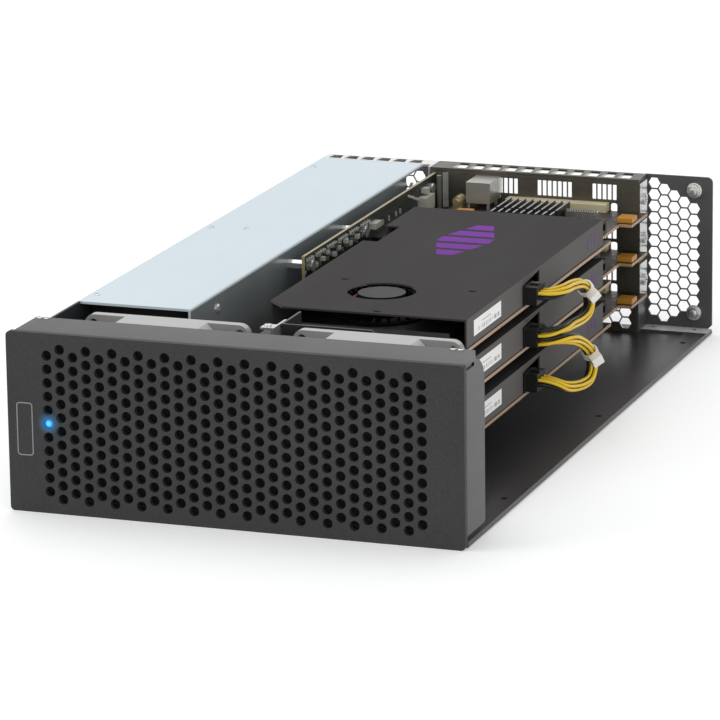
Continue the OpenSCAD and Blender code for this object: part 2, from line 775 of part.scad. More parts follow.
module card_shroud(k) {
    z0 = card_z[k] + board_t;
    z1 = z0 + shroud_h;
    color([0.28, 0.275, 0.275]) place() {
        slab_z(z1 - shroud_t, shroud_t) shroud_top2();
        slab_x(shroud_right - shroud_t, shroud_t) difference() {
            rect2([card_front, z0], [shroud_rear, z1 - shroud_t]);
            translate([socket_y - 0.3, z0]) polygon([
                [0, -1], [notch_len, -1], [notch_len, notch_h], [0, notch_h - notch_slope]]);
        }
        for (y = [[shroud_chamfer, 136], [169.5, shroud_len]])
            block([shroud_x, card_front + y[0], z0], [shroud_x + shroud_t, card_front + y[1], z1 - shroud_t]);
    }
}

// Cooler of one card: base plate with the blower's spindle, and a block of fins behind it
module card_cooler(z0) {
    fin_x0 = shroud_x + 8;
    fins = 13;
    block([shroud_x + 6, blower_y - 24, z0], [shroud_right - 14, shroud_rear - 8, z0 + cooler_t]);
    translate([blower_x, blower_y, z0 + cooler_t - 0.5]) cylinder(r = spindle_r, h = spindle_h + 0.5, $fn = 32);
    for (i = [0 : fins - 1])
        block([fin_x0 + i * 5.9, blower_y + 30, z0 + cooler_t - 0.5],
              [fin_x0 + i * 5.9 + 1, shroud_rear - 8, z0 + shroud_h - shroud_t - SEAT]);
}

module card_coolers() {
    color([0.5, 0.5, 0.52]) place() for (z = card_z) card_cooler(z + board_t);
}

// Blower wheel of one card: hub over the spindle, a thin disc and a ring of vanes
module blower_rotor(k) {
    z0 = card_z[k] + board_t + cooler_t + 0.4;
    top = card_z[k] + board_t + shroud_h - 0.5;
    vane_top = top + 0.5 - shroud_t - 0.6;
    color([0.35, 0.33, 0.36]) place() translate([blower_x, blower_y, 0]) {
        difference() {
            union() {
                translate([0, 0, z0]) cylinder(r = blower_hub_r, h = top - z0, $fn = 64);
                translate([0, 0, z0]) cylinder(r = blower_r, h = 0.8, $fn = 96);
            }
            translate([0, 0, z0 - 1]) cylinder(r = spindle_r + RUN, h = 1 + spindle_h, $fn = 32);
        }
        for (i = [0 : blower_vanes - 1])
            rotate(i * 360 / blower_vanes) translate([blower_r - 6.4, 1.2, z0 + 0.5]) rotate(-16)
                cube([6, 0.7, vane_top - z0 - 0.5]);
    }
}

// Slots of a bracket, in x and z from the card's left edge and the board's underside
module vents2(first, count) {
    for (i = [0 : count - 1])
        translate([card_x + first + i * vent_pitch, 0]) rect2([0, vent_z], [vent_w, vent_z + vent_h]);
}

// End bracket of a card: vented face, offset tongue at the left and a bent tab at the right
module card_bracket(k) {
    z0 = card_z[k] - bracket_drop;
    right = jog_right + sheet_t + bracket_t;
    color([0.36, 0.35, 0.33]) place() {
        slab_y(bracket_y, bracket_t) translate([0, card_z[k]]) difference() {
            rect2([card_x - 6, -bracket_drop], [right, bracket_w - bracket_drop]);
            vents2(21.5, 4);
            vents2(42.4, 7);
            vents2(71.8, 5);
            rect2([port_x - 0.2, port_lift - 0.2], [port_x + port_w + 0.2, port_lift + port_h + 0.2]);
            round_rect2([card_right - 19.4, 0.9], [card_right - 16, 5.6], 1.2);
        }
        slab_z(z0, bracket_w) polygon([
            [card_x - 6, bracket_y], [card_x - 6, bracket_y + bracket_t], [card_x - 8.6, bracket_y - 1.6],
            [card_x - 14.4, bracket_y - 1.6], [card_x - 14.4, bracket_y - 2.6], [card_x - 8.2, bracket_y - 2.6]]);
        block([right - bracket_t, bracket_y, z0], [right, bracket_y + 12.8, z0 + bracket_w]);
    }
}

module bracket_screws() {
    color("silver") place() for (z = card_z)
        translate([jog_right + sheet_t + bracket_t, bracket_y + 6.8, z - bracket_drop + bracket_w / 2])
            rotate([0, 90, 0]) low_screw(3, 2);
}

module card_sockets() {
    color([0.06, 0.06, 0.06]) place() for (z = card_z)
        block([socket_right - socket_d, socket_y, z + board_t],
              [socket_right, socket_y + socket_len, z + board_t + socket_h]);
}

module power_plugs() {
    color([0.09, 0.09, 0.09]) place() for (z = card_z) {
        z0 = z + board_t;
        difference() {
            block([socket_right, socket_y + 0.2, z0 + 0.8],
                  [plug_right, socket_y + socket_len - 0.2, z0 + socket_h - 0.1]);
            block([plug_right - 0.6, socket_y - 1, z0 + socket_h / 2 + 0.1],
                  [plug_right + 1, socket_y + socket_len + 1, z0 + socket_h / 2 + 0.6]);
        }
        block([socket_right + 1, socket_y + socket_len / 2 - 1.6, z0 + socket_h - 0.1],
              [plug_right - 0.4, socket_y + socket_len / 2 + 1.6, z0 + socket_h + 0.9]);
    }
}

module card_heat_sinks() {
    fins = 9;
    pitch = 3.9;
    x0 = card_x + 32.6;
    y0 = bracket_y - 49;
    length = 33;
    color([0.06, 0.06, 0.06]) place() for (z = card_z) {
        z0 = z + board_t;
        block([x0, y0, z0], [x0 + (fins - 1) * pitch + 1.1, y0 + length, z0 + 3.2]);
        for (i = [0 : fins - 1], part = [[0, 8], [10.5, length]])
            block([x0 + i * pitch, y0 + part[0], z0 + 3], [x0 + i * pitch + 1.1, y0 + part[1], z0 + 7.4]);
    }
}

module card_ports() {
    color([0.72, 0.72, 0.68]) place() for (z = card_z) {
        z0 = z + port_lift;
        difference() {
            block([port_x, bracket_y - port_d, z0], [port_x + port_w, wall_y + 2, z0 + port_h]);
            block([port_x + 1.2, bracket_y - port_d + 4, z0 + 1.2],
                  [port_x + port_w - 1.2, wall_y + 3, z0 + port_h - 1.2]);
        }
        for (x = [port_x + 0.6, port_x + port_w - 2], y = [bracket_y - port_d + 0.6, bracket_y - 4])
            block([x, y, z + board_t], [x + 1.4, y + 1.4, z0]);
    }
}

module card_port_blocks() {
    color([0.86, 0.82, 0.68]) place() for (z = card_z)
        block([card_x + 27, bracket_y - 7, z + board_t], [card_x + 81, bracket_y, z + board_t + 4.4]);
}

module card_pin_headers() {
    pins = 13;
    color([0.3, 0.3, 0.3]) place() for (z = card_z) {
        x0 = card_x + 66;
        block([x0, bracket_y - 28, z + board_t], [x0 + 17, bracket_y - 23, z + board_t + 5]);
        for (i = [0 : pins - 1])
            block([x0 + 0.7 + i * 1.27, bracket_y - 28.6, z + board_t],
                  [x0 + 1.3 + i * 1.27, bracket_y - 28, z + board_t + 6.4]);
    }
}

module card_edge_headers() {
    color([0.07, 0.07, 0.08]) place() for (z = card_z)
        difference() {
            block([card_right - 12, header_y, z + board_t],
                  [card_right - edge_notch_d - 0.3, header_y + header_len, z + board_t + 7.4]);
            block([card_right - edge_notch_d - 2, header_y + 2, z + board_t + 2],
                  [card_right, header_y + header_len - 2, z + board_t + 5.4]);
        }
}

module card_capacitors() {
    color([0.85, 0.6, 0.2]) place() for (z = card_z) {
        block([card_right - 8.6, capacitor_y, z + board_t],
              [card_right - 0.4, capacitor_y + 9, z + board_t + 2.8]);
        block([card_x + 8.6, bracket_y - 33, z + board_t], [card_x + 17.4, bracket_y - 27, z + board_t + 2.8]);
    }
}

module card_coax() {
    color([0.72, 0.6, 0.35]) place() for (z = card_z)
        translate([card_x + 5.6, bracket_y - 20, z + board_t]) {
            translate([-2.4, 0, 0]) cube([4.8, 7, 2.6]);
            translate([0, -1, 4.4]) rotate([-90, 0, 0]) cylinder(r = 2.5, h = 8, $fn = 32);
            translate([0, -2.8, 4.4]) rotate([-90, 0, 0]) cylinder(r = 1.4, h = 2, $fn = 24);
        }
}

// Point on a smooth curve through four points, at t from 0 to 1 between the middle two
function curve_point(a, b, c, d, t) =
    0.5 * (2 * b + (c - a) * t + (2 * a - 5 * b + 4 * c - d) * t * t + (3 * b - a - 3 * c + d) * t * t * t);

// Smooth curve through the given points, with steps rings between two of them
function smooth(p, steps) = let (n = len(p) - 1) concat(
    [for (i = [0 : n - 1], j = [0 : steps - 1])
        curve_point(p[max(i - 1, 0)], p[i], p[i + 1], p[min(i + 2, n)], j / steps)],
    [p[n]]);

function unit(v) = v / norm(v);

// Direction of the curve at each of its points
function directions(c) = let (n = len(c) - 1)
    [for (i = [0 : n]) i == 0 || i == n ? [i == 0 ? 1 : -1, 0, 0] : unit(c[i + 1] - c[i - 1])];

// Normal carried along the curve without twist
function normals(dirs, i = 0, last = [0, 1, 0]) =
    i == len(dirs) ? [] :
    let (n = unit(last - (last * dirs[i]) * dirs[i])) concat([n], normals(dirs, i + 1, n));

// Centre line of loop k, from the plug of card k to the plug of the next card
function loop_points(k) = let (
        top = card_z[k] + board_t + 0.8 + (socket_h - 0.9) / 2,
        drop = card_z[k] - card_z[k + 1])
    smooth([for (s = LOOPS[k]) [plug_right + s[0], socket_y + socket_len / 2 + s[1], top - s[2] * drop]],
           loop_steps);

// Place of wire w of loop k across the bundle: in its contact at the ends, round the bundle
// between them, with the yellow wires on its outer side
function across(k, w, share) = let (
        col = w % 3 - 1,
        row = w < 3 ? 1 : -1,
        contact = [col * contact_pitch, row * contact_row],
        yellow = (k == 0) == (w < 3),
        angle = (k == 0 ? 1 : -1) * (yellow ? 150 - col * 60 : 330 + col * 60),
        ring = bundle_r * [cos(angle), sin(angle)])
    contact + (ring - contact) * share;

// How far a wire has joined the bundle at point i of n
function gather(i, n) = let (s = min(1, 3.4 * min(i, n - i) / n)) s * s * (3 - 2 * s);

// Centre line of one wire of loop k
function wire_points(k, w) = let (
        c = loop_points(k), d = directions(c), n = normals(d), last = len(c) - 1,
        twist = atan2(n[last].z, n[last].y))
    [for (i = [0 : last]) let (
            o = across(k, w, gather(i, last)),
            a = twist * i / last,
            across_n = cos(a) * o[0] - sin(a) * o[1],
            across_b = sin(a) * o[0] + cos(a) * o[1])
        c[i] + across_n * n[i] + across_b * cross(d[i], n[i])];

// Tube of eight sides along a wire's centre line
module wire(k, w) {
    sides = 8;
    p = wire_points(k, w);
    d = directions(p);
    n = normals(d);
    last = len(p) - 1;
    rings = [for (i = [0 : last], s = [0 : sides - 1])
        p[i] + wire_r * (cos(s * 360 / sides) * n[i] + sin(s * 360 / sides) * cross(d[i], n[i]))];
    polyhedron(rings, concat(
        [[for (s = [0 : sides - 1]) s]],
        [for (i = [0 : last - 1], s = [0 : sides - 1], half = [0, 1]) let (
                a = i * sides + s, b = i * sides + (s + 1) % sides)
            half == 0 ? [a, a + sides, b + sides] : [a, b + sides, b]],
        [[for (s = [sides - 1 : -1 : 0]) last * sides + s]]));
}

module wires_yellow(k) {
    color([0.93, 0.78, 0.2]) place() for (w = k == 0 ? [0 : 2] : [3 : 5]) wire(k, w);
}

module wires_black(k) {
    color([0.1, 0.1, 0.1]) place() for (w = k == 0 ? [3 : 5] : [0 : 2]) wire(k, w);
}

module zip_ties() {
    inner = bundle_r + wire_r + 0.15;
    color([0.9, 0.9, 0.86]) place() for (k = [0, 1]) {
        c = loop_points(k);
        i = round(tie_stations[k] * (len(c) - 1));
        d = directions(c)[i];
        tilt = acos(d.z);
        heading = atan2(d.y, d.x);
        ex = [cos(tilt) * cos(heading), cos(tilt) * sin(heading), -sin(tilt)];
        ey = [-sin(heading), cos(heading), 0];
        translate(c[i]) rotate([0, tilt, heading]) rotate(atan2(TIE_SIDE * ey, TIE_SIDE * ex)) {
            difference() {
                cylinder(r = inner + 1, h = 3.4, center = true);
                cylinder(r = inner, h = 4, center = true);
            }
            translate([inner + 0.6, -2.9, -2.8]) cube([4.2, 5.8, 5.6]);
        }
    }
}

front_plate();
front_frame();
base_tray();
base_rail();
left_wall();
rear_panel_right();
rear_wall();
rear_vents();
rear_flange();
rear_panel_left();
frame_screws();
captive_screws();
status_light();
light_holder();
psu_cover();
psu_unit();
psu_screws();
mains_inlet();
fan_frame_left();
fan_frame_right();
fan_rotor_left();
fan_rotor_right();
support_bracket();
support_tab();
backplane();
slot_connectors();
backplane_parts();
backplane_standoffs();
rear_post();
interface_board();
data_ports();
card_board(0);  // card_board_1
card_board(1);  // card_board_2
card_board(2);  // card_board_3
card_shroud(0);  // card_shroud_1
card_shroud(1);  // card_shroud_2
card_shroud(2);  // card_shroud_3
card_bracket(0);  // card_bracket_1
card_bracket(1);  // card_bracket_2
card_bracket(2);  // card_bracket_3
blower_rotor(0);  // blower_rotor_1
blower_rotor(1);  // blower_rotor_2
blower_rotor(2);  // blower_rotor_3
card_coolers();
card_sockets();
card_heat_sinks();
card_ports();
card_port_blocks();
card_pin_headers();
card_edge_headers();
card_capacitors();
card_coax();
bracket_screws();
power_plugs();
wires_yellow(0);  // wires_yellow_1
wires_black(0);  // wires_black_1
wires_yellow(1);  // wires_yellow_2
wires_black(1);  // wires_black_2
zip_ties();
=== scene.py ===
"""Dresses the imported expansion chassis: finishes, small parts, harness, stage, light and camera."""

from __future__ import annotations

import logging
import math
from dataclasses import dataclass
from enum import Enum
from typing import Any, Sequence

import bmesh
import bpy
from mathutils import Matrix, Vector

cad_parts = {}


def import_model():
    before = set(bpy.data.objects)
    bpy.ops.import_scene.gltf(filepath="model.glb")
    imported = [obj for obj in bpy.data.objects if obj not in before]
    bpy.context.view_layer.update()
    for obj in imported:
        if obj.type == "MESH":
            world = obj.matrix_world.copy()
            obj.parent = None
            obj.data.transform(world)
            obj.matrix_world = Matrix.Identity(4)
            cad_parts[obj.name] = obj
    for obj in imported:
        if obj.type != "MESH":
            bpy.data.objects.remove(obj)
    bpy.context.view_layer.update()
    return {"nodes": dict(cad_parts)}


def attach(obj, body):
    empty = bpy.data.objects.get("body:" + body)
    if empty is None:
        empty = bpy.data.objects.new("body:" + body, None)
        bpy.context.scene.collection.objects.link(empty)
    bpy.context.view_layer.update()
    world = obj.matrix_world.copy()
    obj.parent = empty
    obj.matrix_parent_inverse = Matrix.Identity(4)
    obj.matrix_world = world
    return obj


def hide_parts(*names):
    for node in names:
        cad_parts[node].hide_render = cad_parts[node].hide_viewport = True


LOG = logging.getLogger("chassis")

Point = tuple[float, float, float]
Span = tuple[float, float]
Colour = tuple[int, int, int]
Shade = tuple[float, float, float, float]
Mesh = bmesh.types.BMesh
Material = bpy.types.Material

X, Y, Z = range(3)
MM = 0.001
CHASSIS = "chassis"

# Sizes of the part's source, in millimetres
PLATE_W = 216.5
BODY_D = 402.0
BOARD_T = 1.57
CARD_Z = (63.8, 43.48, 21.56)
SHROUD_H = 13.6
LIGHT_X = 19.7
LIGHT_Z = 41.8

# How far the foot of a small piece stands inside what carries it, in millimetres
SUNK = 0.02

# Edges with more than this angle are shaded as sharp, and bevelled in softened copies
SHARP = math.radians(38)
# Faces of a node within this angle of each other lie in one plane
FLAT = math.radians(0.6)
# Distances in metres under which vertices are joined, in new meshes and in nodes
WELD = 1e-7
NODE_WELD = 2e-6

# Sockets of a Mix node for colours: factor, first and second colour, and the result
MIX_INPUTS = (0, 6, 7)
MIX_RESULT = 2
# Share of a normal along an axis from which its face counts as facing that way
FACING = 0.7


def at(x: float, y: float, z: float) -> Vector:
    """Turns millimetres from the plate's left, front, bottom corner into the model's frame."""
    return Vector(((x - PLATE_W / 2) * MM, (y - BODY_D / 2) * MM, z * MM))


def linear(colour: Colour, loss: float = 0.0) -> Shade:
    """Turns a display colour into the linear colour that a shader takes.

    Args:
        colour: red, green and blue, from 0 to 255.
        loss: share of the light that is taken away.

    Returns:
        Linear red, green and blue with full opacity.
    """
    shares = (channel / 255 for channel in colour)
    light = (c / 12.92 if c <= 0.04045 else ((c + 0.055) / 1.055) ** 2.4 for c in shares)
    red, green, blue = (channel * (1 - loss) for channel in light)
    return red, green, blue, 1.0


class Value:
    """A socket of a shader tree that takes part in Python expressions."""

    def __init__(self, tree: Tree, socket: bpy.types.NodeSocket) -> None:
        """Wraps an output socket of the tree."""
        self.tree = tree
        self.socket = socket

    def _math(self, operation: str, *others: Any) -> Value:
        """Adds a Math node on this value and the others."""
        return self.tree.node("ShaderNodeMath", {"operation": operation}, [self, *others])

    def __add__(self, other: Any) -> Value:
        """Sum."""
        return self._math("ADD", other)

    def __sub__(self, other: Any) -> Value:
        """Difference."""
        return self._math("SUBTRACT", other)

    def __rsub__(self, other: Any) -> Value:
        """Difference, from the right."""
        return self.tree.node("ShaderNodeMath", {"operation": "SUBTRACT"}, [other, self])

    def __mul__(self, other: Any) -> Value:
        """Product."""
        return self._math("MULTIPLY", other)

    def __truediv__(self, other: Any) -> Value:
        """Quotient."""
        return self._math("DIVIDE", other)

    def __mod__(self, other: Any) -> Value:
        """Remainder, always positive."""
        return self._math("FLOORED_MODULO", other)

    def __gt__(self, other: Any) -> Value:
        """One where this is greater."""
        return self._math("GREATER_THAN", other)

    def __lt__(self, other: Any) -> Value:
        """One where this is less."""
        return self._math("LESS_THAN", other)

    def __abs__(self) -> Value:
        """Size without sign."""
        return self._math("ABSOLUTE")

    def floor(self) -> Value:
        """Whole part."""
        return self._math("FLOOR")

    def root(self) -> Value:
        """Square root."""
        return self._math("SQRT")

    def within(self, low: float, high: float) -> Value:
        """One between low and high, zero outside."""
        return (self > low) * (self < high)


class Tree:
    """A material's shader tree."""

    def __init__(self, name: str) -> None:
        """Makes an empty material of that name."""
        self.material = bpy.data.materials.new(name)
        self.material.use_nodes = True
        self.nodes = self.material.node_tree.nodes
        self.links = self.material.node_tree.links
        self.nodes.clear()

    def node(
        self,
        kind: str,
        settings: dict[str, Any] | None = None,
        inputs: dict[Any, Any] | Sequence[Any] | None = None,
        output: str | int = 0,
    ) -> Value:
        """Adds a node.

        Args:
            kind: the node's type.
            settings: properties that are set before the inputs.
            inputs: values or links, by socket or in order.
            output: the output socket that is wanted.

        Returns:
            The output, wrapped.
        """
        made = self.nodes.new(kind)
        for key, value in (settings or {}).items():
            setattr(made, key, value)
        pairs = inputs.items() if isinstance(inputs, dict) else enumerate(inputs or [])
        for key, value in pairs:
            target = made.inputs[key]
            if isinstance(value, Value):
                self.links.new(value.socket, target)
            else:
                target.default_value = value
        return Value(self, made.outputs[output] if len(made.outputs) else None)

    def parts(self, source: Value) -> tuple[Value, Value, Value]:
        """The x, y and z of a vector."""
        first = self.node("ShaderNodeSeparateXYZ", {}, [source])
        outputs = first.socket.node.outputs
        return first, Value(self, outputs[Y]), Value(self, outputs[Z])

    def place(self, scale: Point = (1, 1, 1)) -> Value:
        """Object coordinates in metres, scaled."""
        coords = self.node("ShaderNodeTexCoord", output="Object")
        return self.node("ShaderNodeMapping", {}, {"Vector": coords, "Scale": scale})

    def distance(self, centre: Point) -> Value:
        """Distance from a point in metres, across and up, whatever the depth."""
        x, _, z = self.parts(self.place())
        across, up = x - centre[X], z - centre[Z]
        return (across * across + up * up).root()

    def noise(self, scale: float, detail: float = 3, stretch: Point = (1, 1, 1)) -> Value:
        """Soft noise with that many waves a metre, from 0 to 1."""
        inputs = {"Vector": self.place(stretch), "Scale": scale, "Detail": detail}
        return self.node("ShaderNodeTexNoise", {}, inputs, "Fac")

    def dice(self, column: Value, row: Value) -> Value:
        """A fixed random number from 0 to 1 for each cell of a grid."""
        inputs = {"Vector": self.node("ShaderNodeCombineXYZ", {}, [column, row])}
        return self.node("ShaderNodeTexWhiteNoise", {"noise_dimensions": "2D"}, inputs, "Value")

    def ramp(self, value: Value, start: float, end: float, first: float, last: float) -> Value:
        """Maps start to end onto first to last, held beyond them."""
        return self.node("ShaderNodeMapRange", {}, [value, start, end, first, last])

    def facing(self, axis: int) -> Value:
        """One on faces that look along x, y or z."""
        coords = self.node("ShaderNodeTexCoord", output="Normal")
        return abs(self.parts(coords)[axis]) > FACING

    def mix(self, factor: Any, first: Any, second: Any) -> Value:
        """Colour mix of first and second."""
        inputs = dict(zip(MIX_INPUTS, (factor, first, second)))
        return self.node("ShaderNodeMix", {"data_type": "RGBA"}, inputs, MIX_RESULT)

    def bump(self, height: Value, strength: float, distance: float) -> Value:
        """Normal from a height in 0 to 1 and its depth in metres."""
        inputs = {"Strength": strength, "Distance": distance, "Height": height}
        return self.node("ShaderNodeBump", {}, inputs)

    def surface(self, **sockets: Any) -> Material:
        """Ends the tree in a Principled shader.

        Args:
            sockets: its sockets by their names in small letters, such as base_color.

        Returns:
            The finished material.
        """
        titles = (key.replace("_", " ").title().replace("Ior", "IOR") for key in sockets)
        shader = self.node("ShaderNodeBsdfPrincipled", {}, dict(zip(titles, sockets.values())))
        self.node("ShaderNodeOutputMaterial", {}, {"Surface": shader})
        return self.material


@dataclass(frozen=True)
class PaintedSheet:
    """Powder-coated sheet with a fine orange-peel grain and soft handling marks, plus optional
    painted light and shade by face and a painted glow.
    """

    name: str
    colour: Colour
    lighter: Colour
    roughness: float = 0.42
    grain: float = 2600.0
    depth: float = 0.00003
    specular: float = 0.12
    # Painted light: colour of faces that look along x, set apart from the rest by how light falls on
    # them
    side: Colour | None = None
    # Painted shade: colour of faces that look along y, dark so the hollows behind the holes read as
    # shaded
    front: Colour | None = None
    # Bare silver metal with a painted reflection: a light colour on flat faces below foot_top
    foot: Colour | None = None
    foot_top: float = 0.0034
    # Painted light: a blue glow painted round this point on the sheet, standing in for the status
    # light's spill
    painted_glow_at: Point | None = None
    painted_glow_radius: float = 0.0062
    painted_glow_colour: Colour = (14, 104, 150)

    def make(self) -> Material:
        """Builds and returns the material."""
        tree = Tree(self.name)
        cloud = tree.noise(scale=14, detail=4)
        speck = tree.noise(self.grain, detail=2)
        streak = tree.noise(scale=60, stretch=(1, 0.15, 1))
        tone = tree.mix(cloud * 0.3 + speck * 0.6, linear(self.colour), linear(self.lighter))
        # Painted light: faces that look sideways take the side colour
        if self.side:
            tone = tree.mix(tree.facing(X), tone, linear(self.side))
        # Painted shade on faces that look forwards or back
        if self.front:
            tone = tree.mix(tree.facing(Y), tone, linear(self.front))
        # Low flat faces: bare metal colour with a painted reflection
        if self.foot:
            height = tree.parts(tree.place())[Z]
            tone = tree.mix((height < self.foot_top) * tree.facing(Z), tone, linear(self.foot))
        shine: dict[str, Any] = {}
        # Painted glow: emission round a point, standing in for the status light falling on the sheet
        if self.painted_glow_at:
            reach = tree.distance(self.painted_glow_at) / self.painted_glow_radius
            fade = tree.ramp(reach, 0.3, 1.0, 1.0, 0.0)
            glow = tree.mix(fade * fade, linear((0, 0, 0)), linear(self.painted_glow_colour))
            shine = {"emission_color": glow, "emission_strength": 1.0}
        rough = (streak - 0.5) * 0.16 + (cloud - 0.5) * 0.12 + self.roughness
        return tree.surface(
            **shine,
            base_color=tone,
            roughness=rough,
            specular_ior_level=self.specular,
            normal=tree.bump(speck, 0.35, self.depth),
        )


@dataclass(frozen=True)
class GalvanisedSheet:
    """Zinc-coated or plated sheet with faint spangle and rolled streaks, or dents if crinkled, with
    painted light and shade on faces that look sideways.
    """

    name: str
    colour: Colour
    lighter: Colour
    roughness: float = 0.33
    metallic: float = 0.7
    # Painted light and shade: colour, gloss and metal of faces that look along x, set apart by how
    # light falls
    side: Colour | None = None
    side_metallic: float = 0.5
    side_polish: float = 0.2
    crinkle: float = 0.0
    crinkle_depth: float = 0.0012
    specular: float = 0.3

    def make(self) -> Material:
        """Builds and returns the material."""
        tree = Tree(self.name)
        roll = tree.noise(scale=220, stretch=(1, 0.03, 1))
        cloud = tree.noise(scale=9)
        cells = {"Vector": tree.place(), "Scale": 160.0}
        spangle = tree.node("ShaderNodeTexVoronoi", {}, cells, "Color")
        grey = tree.node("ShaderNodeRGBToBW", {}, [spangle])
        mask = cloud * 0.6 + roll * 0.3 + grey * 0.12
        tone = tree.mix(mask, linear(self.colour), linear(self.lighter))
        rough = (roll - 0.5) * 0.14 + (cloud - 0.5) * 0.16 + (grey - 0.5) * 0.05 + self.roughness
        shine: Any = self.metallic
        # Painted light and shade on sideways faces: colour, roughness and metallic
        if self.side:
            painted_side = tree.facing(X)
            tone = tree.mix(painted_side, tone, linear(self.side))
            rough = rough - painted_side * self.side_polish
            shine = painted_side * (self.side_metallic - self.metallic) + self.metallic
        if self.crinkle:
            dents = tree.noise(scale=260, detail=4, stretch=(1, 1, 0.5))
            normal = tree.bump(dents, self.crinkle, self.crinkle_depth)
        else:
            normal = tree.bump(roll, 0.2, 0.00002)
        return tree.surface(
            base_color=tone,
            roughness=rough,
            metallic=shine,
            specular_ior_level=self.specular,
            normal=normal,
        )


@dataclass(frozen=True)
class PlainMetal:
    """Plated or cast metal with fine random wear."""

    name: str
    colour: Colour
    roughness: float = 0.28
    metallic: float = 1.0
    grain: float = 900.0
    vary: float = 0.28

    def make(self) -> Material:
        """Builds and returns the material."""
        tree = Tree(self.name)
        wear = tree.noise(self.grain, detail=4)
        cloud = tree.noise(scale=70, detail=2)
        dark = linear(self.colour, self.vary)
        tone = tree.mix(wear * 0.5 + cloud * 0.3, linear(self.colour), dark)
        return tree.surface(
            base_color=tone,
            roughness=(wear - 0.5) * 0.2 + self.roughness,
            metallic=self.metallic,
            normal=tree.bump(wear, 0.15, 0.00002),
        )


@dataclass(frozen=True)
class Moulding:
    """Moulded plastic, or dull coated metal, with a fine grain and an optional painted highlight on
    faces that look up or down.
    """

    name: str
    colour: Colour
    roughness: float = 0.48
    vary: float = 0.25
    grain: float = 3200.0
    depth: float = 0.00002
    specular: float = 0.3
    # Painted highlight: colour of faces that look along z, lighter than the rest as if lit from above
    top: Colour | None = None

    def make(self) -> Material:
        """Builds and returns the material."""
        tree = Tree(self.name)
        speck = tree.noise(self.grain, detail=2)
        cloud = tree.noise(scale=40)
        dark = linear(self.colour, self.vary)
        tone = tree.mix(cloud * 0.6 + speck * 0.3, linear(self.colour), dark)
        # Painted highlight on faces that look up or down
        if self.top:
            tone = tree.mix(tree.facing(Z), tone, linear(self.top))
        return tree.surface(
            base_color=tone,
            roughness=(cloud - 0.5) * 0.15 + self.roughness,
            specular_ior_level=self.specular,
            normal=tree.bump(speck, 0.3, self.depth),
        )


@dataclass(frozen=True)
class BoardMask:
    """Circuit board: dark solder mask with tracks and pads on its faces, laminate on its edges."""

    name: str
    mask: Colour
    track: Colour
    edge: Colour
    pad: Colour = (196, 176, 120)
    weave: Colour = (92, 66, 42)
    pitch: float = 0.0016
    run: float = 0.017
    upright: bool = False

    def make(self) -> Material:
        """Builds and returns the material."""
        tree = Tree(self.name)
        x, y, z = tree.parts(tree.place())
        across = (z if self.upright else x) / self.pitch
        along = y / self.pitch
        flat = tree.facing(X if self.upright else Z)
        lane = across.floor()
        laid = tree.dice(lane, (y / self.run).floor()) > 0.52
        line = (across % 1.0).within(0.3, 0.62) * laid
        drilled = tree.dice(lane, along.floor()) > 0.9
        pad = (across % 1.0).within(0.25, 0.75) * (along % 1.0).within(0.25, 0.75) * drilled
        tone = tree.mix(line * 0.8, linear(self.mask), linear(self.track))
        tone = tree.mix(pad, tone, linear(self.pad))
        weave = tree.noise(scale=1500, detail=2)
        rim = tree.mix(weave * 0.6, linear(self.edge), linear(self.weave))
        return tree.surface(
            base_color=tree.mix(flat, rim, tone),
            roughness=(1 - pad) * 0.2 + 0.2,
            metallic=pad * flat,
            normal=tree.bump(line, 0.3, 0.00003),
        )


@dataclass(frozen=True)
class Glow:
    """Lit lens of a small light, brightest at its centre."""

    name: str
    centre: Point
    radius: float
    colour: Colour
    core: Colour
    strength: float = 1.0

    def make(self) -> Material:
        """Builds and returns the material."""
        tree = Tree(self.name)
        outward = tree.ramp(tree.distance(self.centre) / self.radius, 0.15, 0.9, 0.0, 1.0)
        return tree.surface(
            base_color=linear(self.colour),
            roughness=0.15,
            emission_color=tree.mix(outward, linear(self.core), linear(self.colour)),
            emission_strength=self.strength,
        )


@dataclass(frozen=True)
class LabelPaper:
    """White label with a row of plain printed bars."""

    name: str
    low: Point
    high: Point
    paper: Colour = (246, 246, 244)
    fibre: Colour = (226, 226, 222)
    ink: Colour = (60, 60, 62)
    bars: float = 96.0
    dashes: float = 34.0

    def make(self) -> Material:
        """Builds and returns the material."""
        tree = Tree(self.name)
        _, y, z = tree.parts(tree.place())
        along = (y - self.low[Y]) / (self.high[Y] - self.low[Y])
        up = (z - self.low[Z]) / (self.high[Z] - self.low[Z])
        cell = {"W": (along * self.bars).floor()}
        dice = tree.node("ShaderNodeTexWhiteNoise", {"noise_dimensions": "1D"}, cell, "Value")
        bars = (dice > 0.5) * along.within(0.16, 0.94) * up.within(0.16, 0.42)
        breaks = (along * self.dashes) % 1.0 > 0.35
        dashes = breaks * along.within(0.3, 0.62) * up.within(0.58, 0.7)
        fibre = tree.noise(scale=1800)
        paper = tree.mix(fibre * 0.2, linear(self.paper), linear(self.fibre))
        tone = tree.mix(bars * 0.62 + dashes * 0.5, paper, linear(self.ink))
        return tree.surface(base_color=tone, roughness=0.5, normal=tree.bump(fibre, 0.1, 0.00001))


@dataclass(frozen=True)
class PurpleFoil:
    """Printed motif in violet ink with a slight sheen."""

    name: str
    colour: Colour = (118, 30, 158)
    deep: Colour = (104, 24, 142)
    fade_from: float = -0.01
    fade_to: float = 0.08

    def make(self) -> Material:
        """Builds and returns the material."""
        tree = Tree(self.name)
        rear = tree.parts(tree.place())[Y]
        fade = tree.ramp(rear, self.fade_from, self.fade_to, 0.0, 1.0)
        speck = tree.noise(scale=3000, detail=2)
        tone = tree.mix(fade * 0.8 + speck * 0.2, linear(self.deep), linear(self.colour))
        return tree.surface(
            base_color=tone,
            roughness=speck * 0.1 + 0.3,
            specular_ior_level=0.02,
            normal=tree.bump(speck, 0.2, 0.00001),
        )


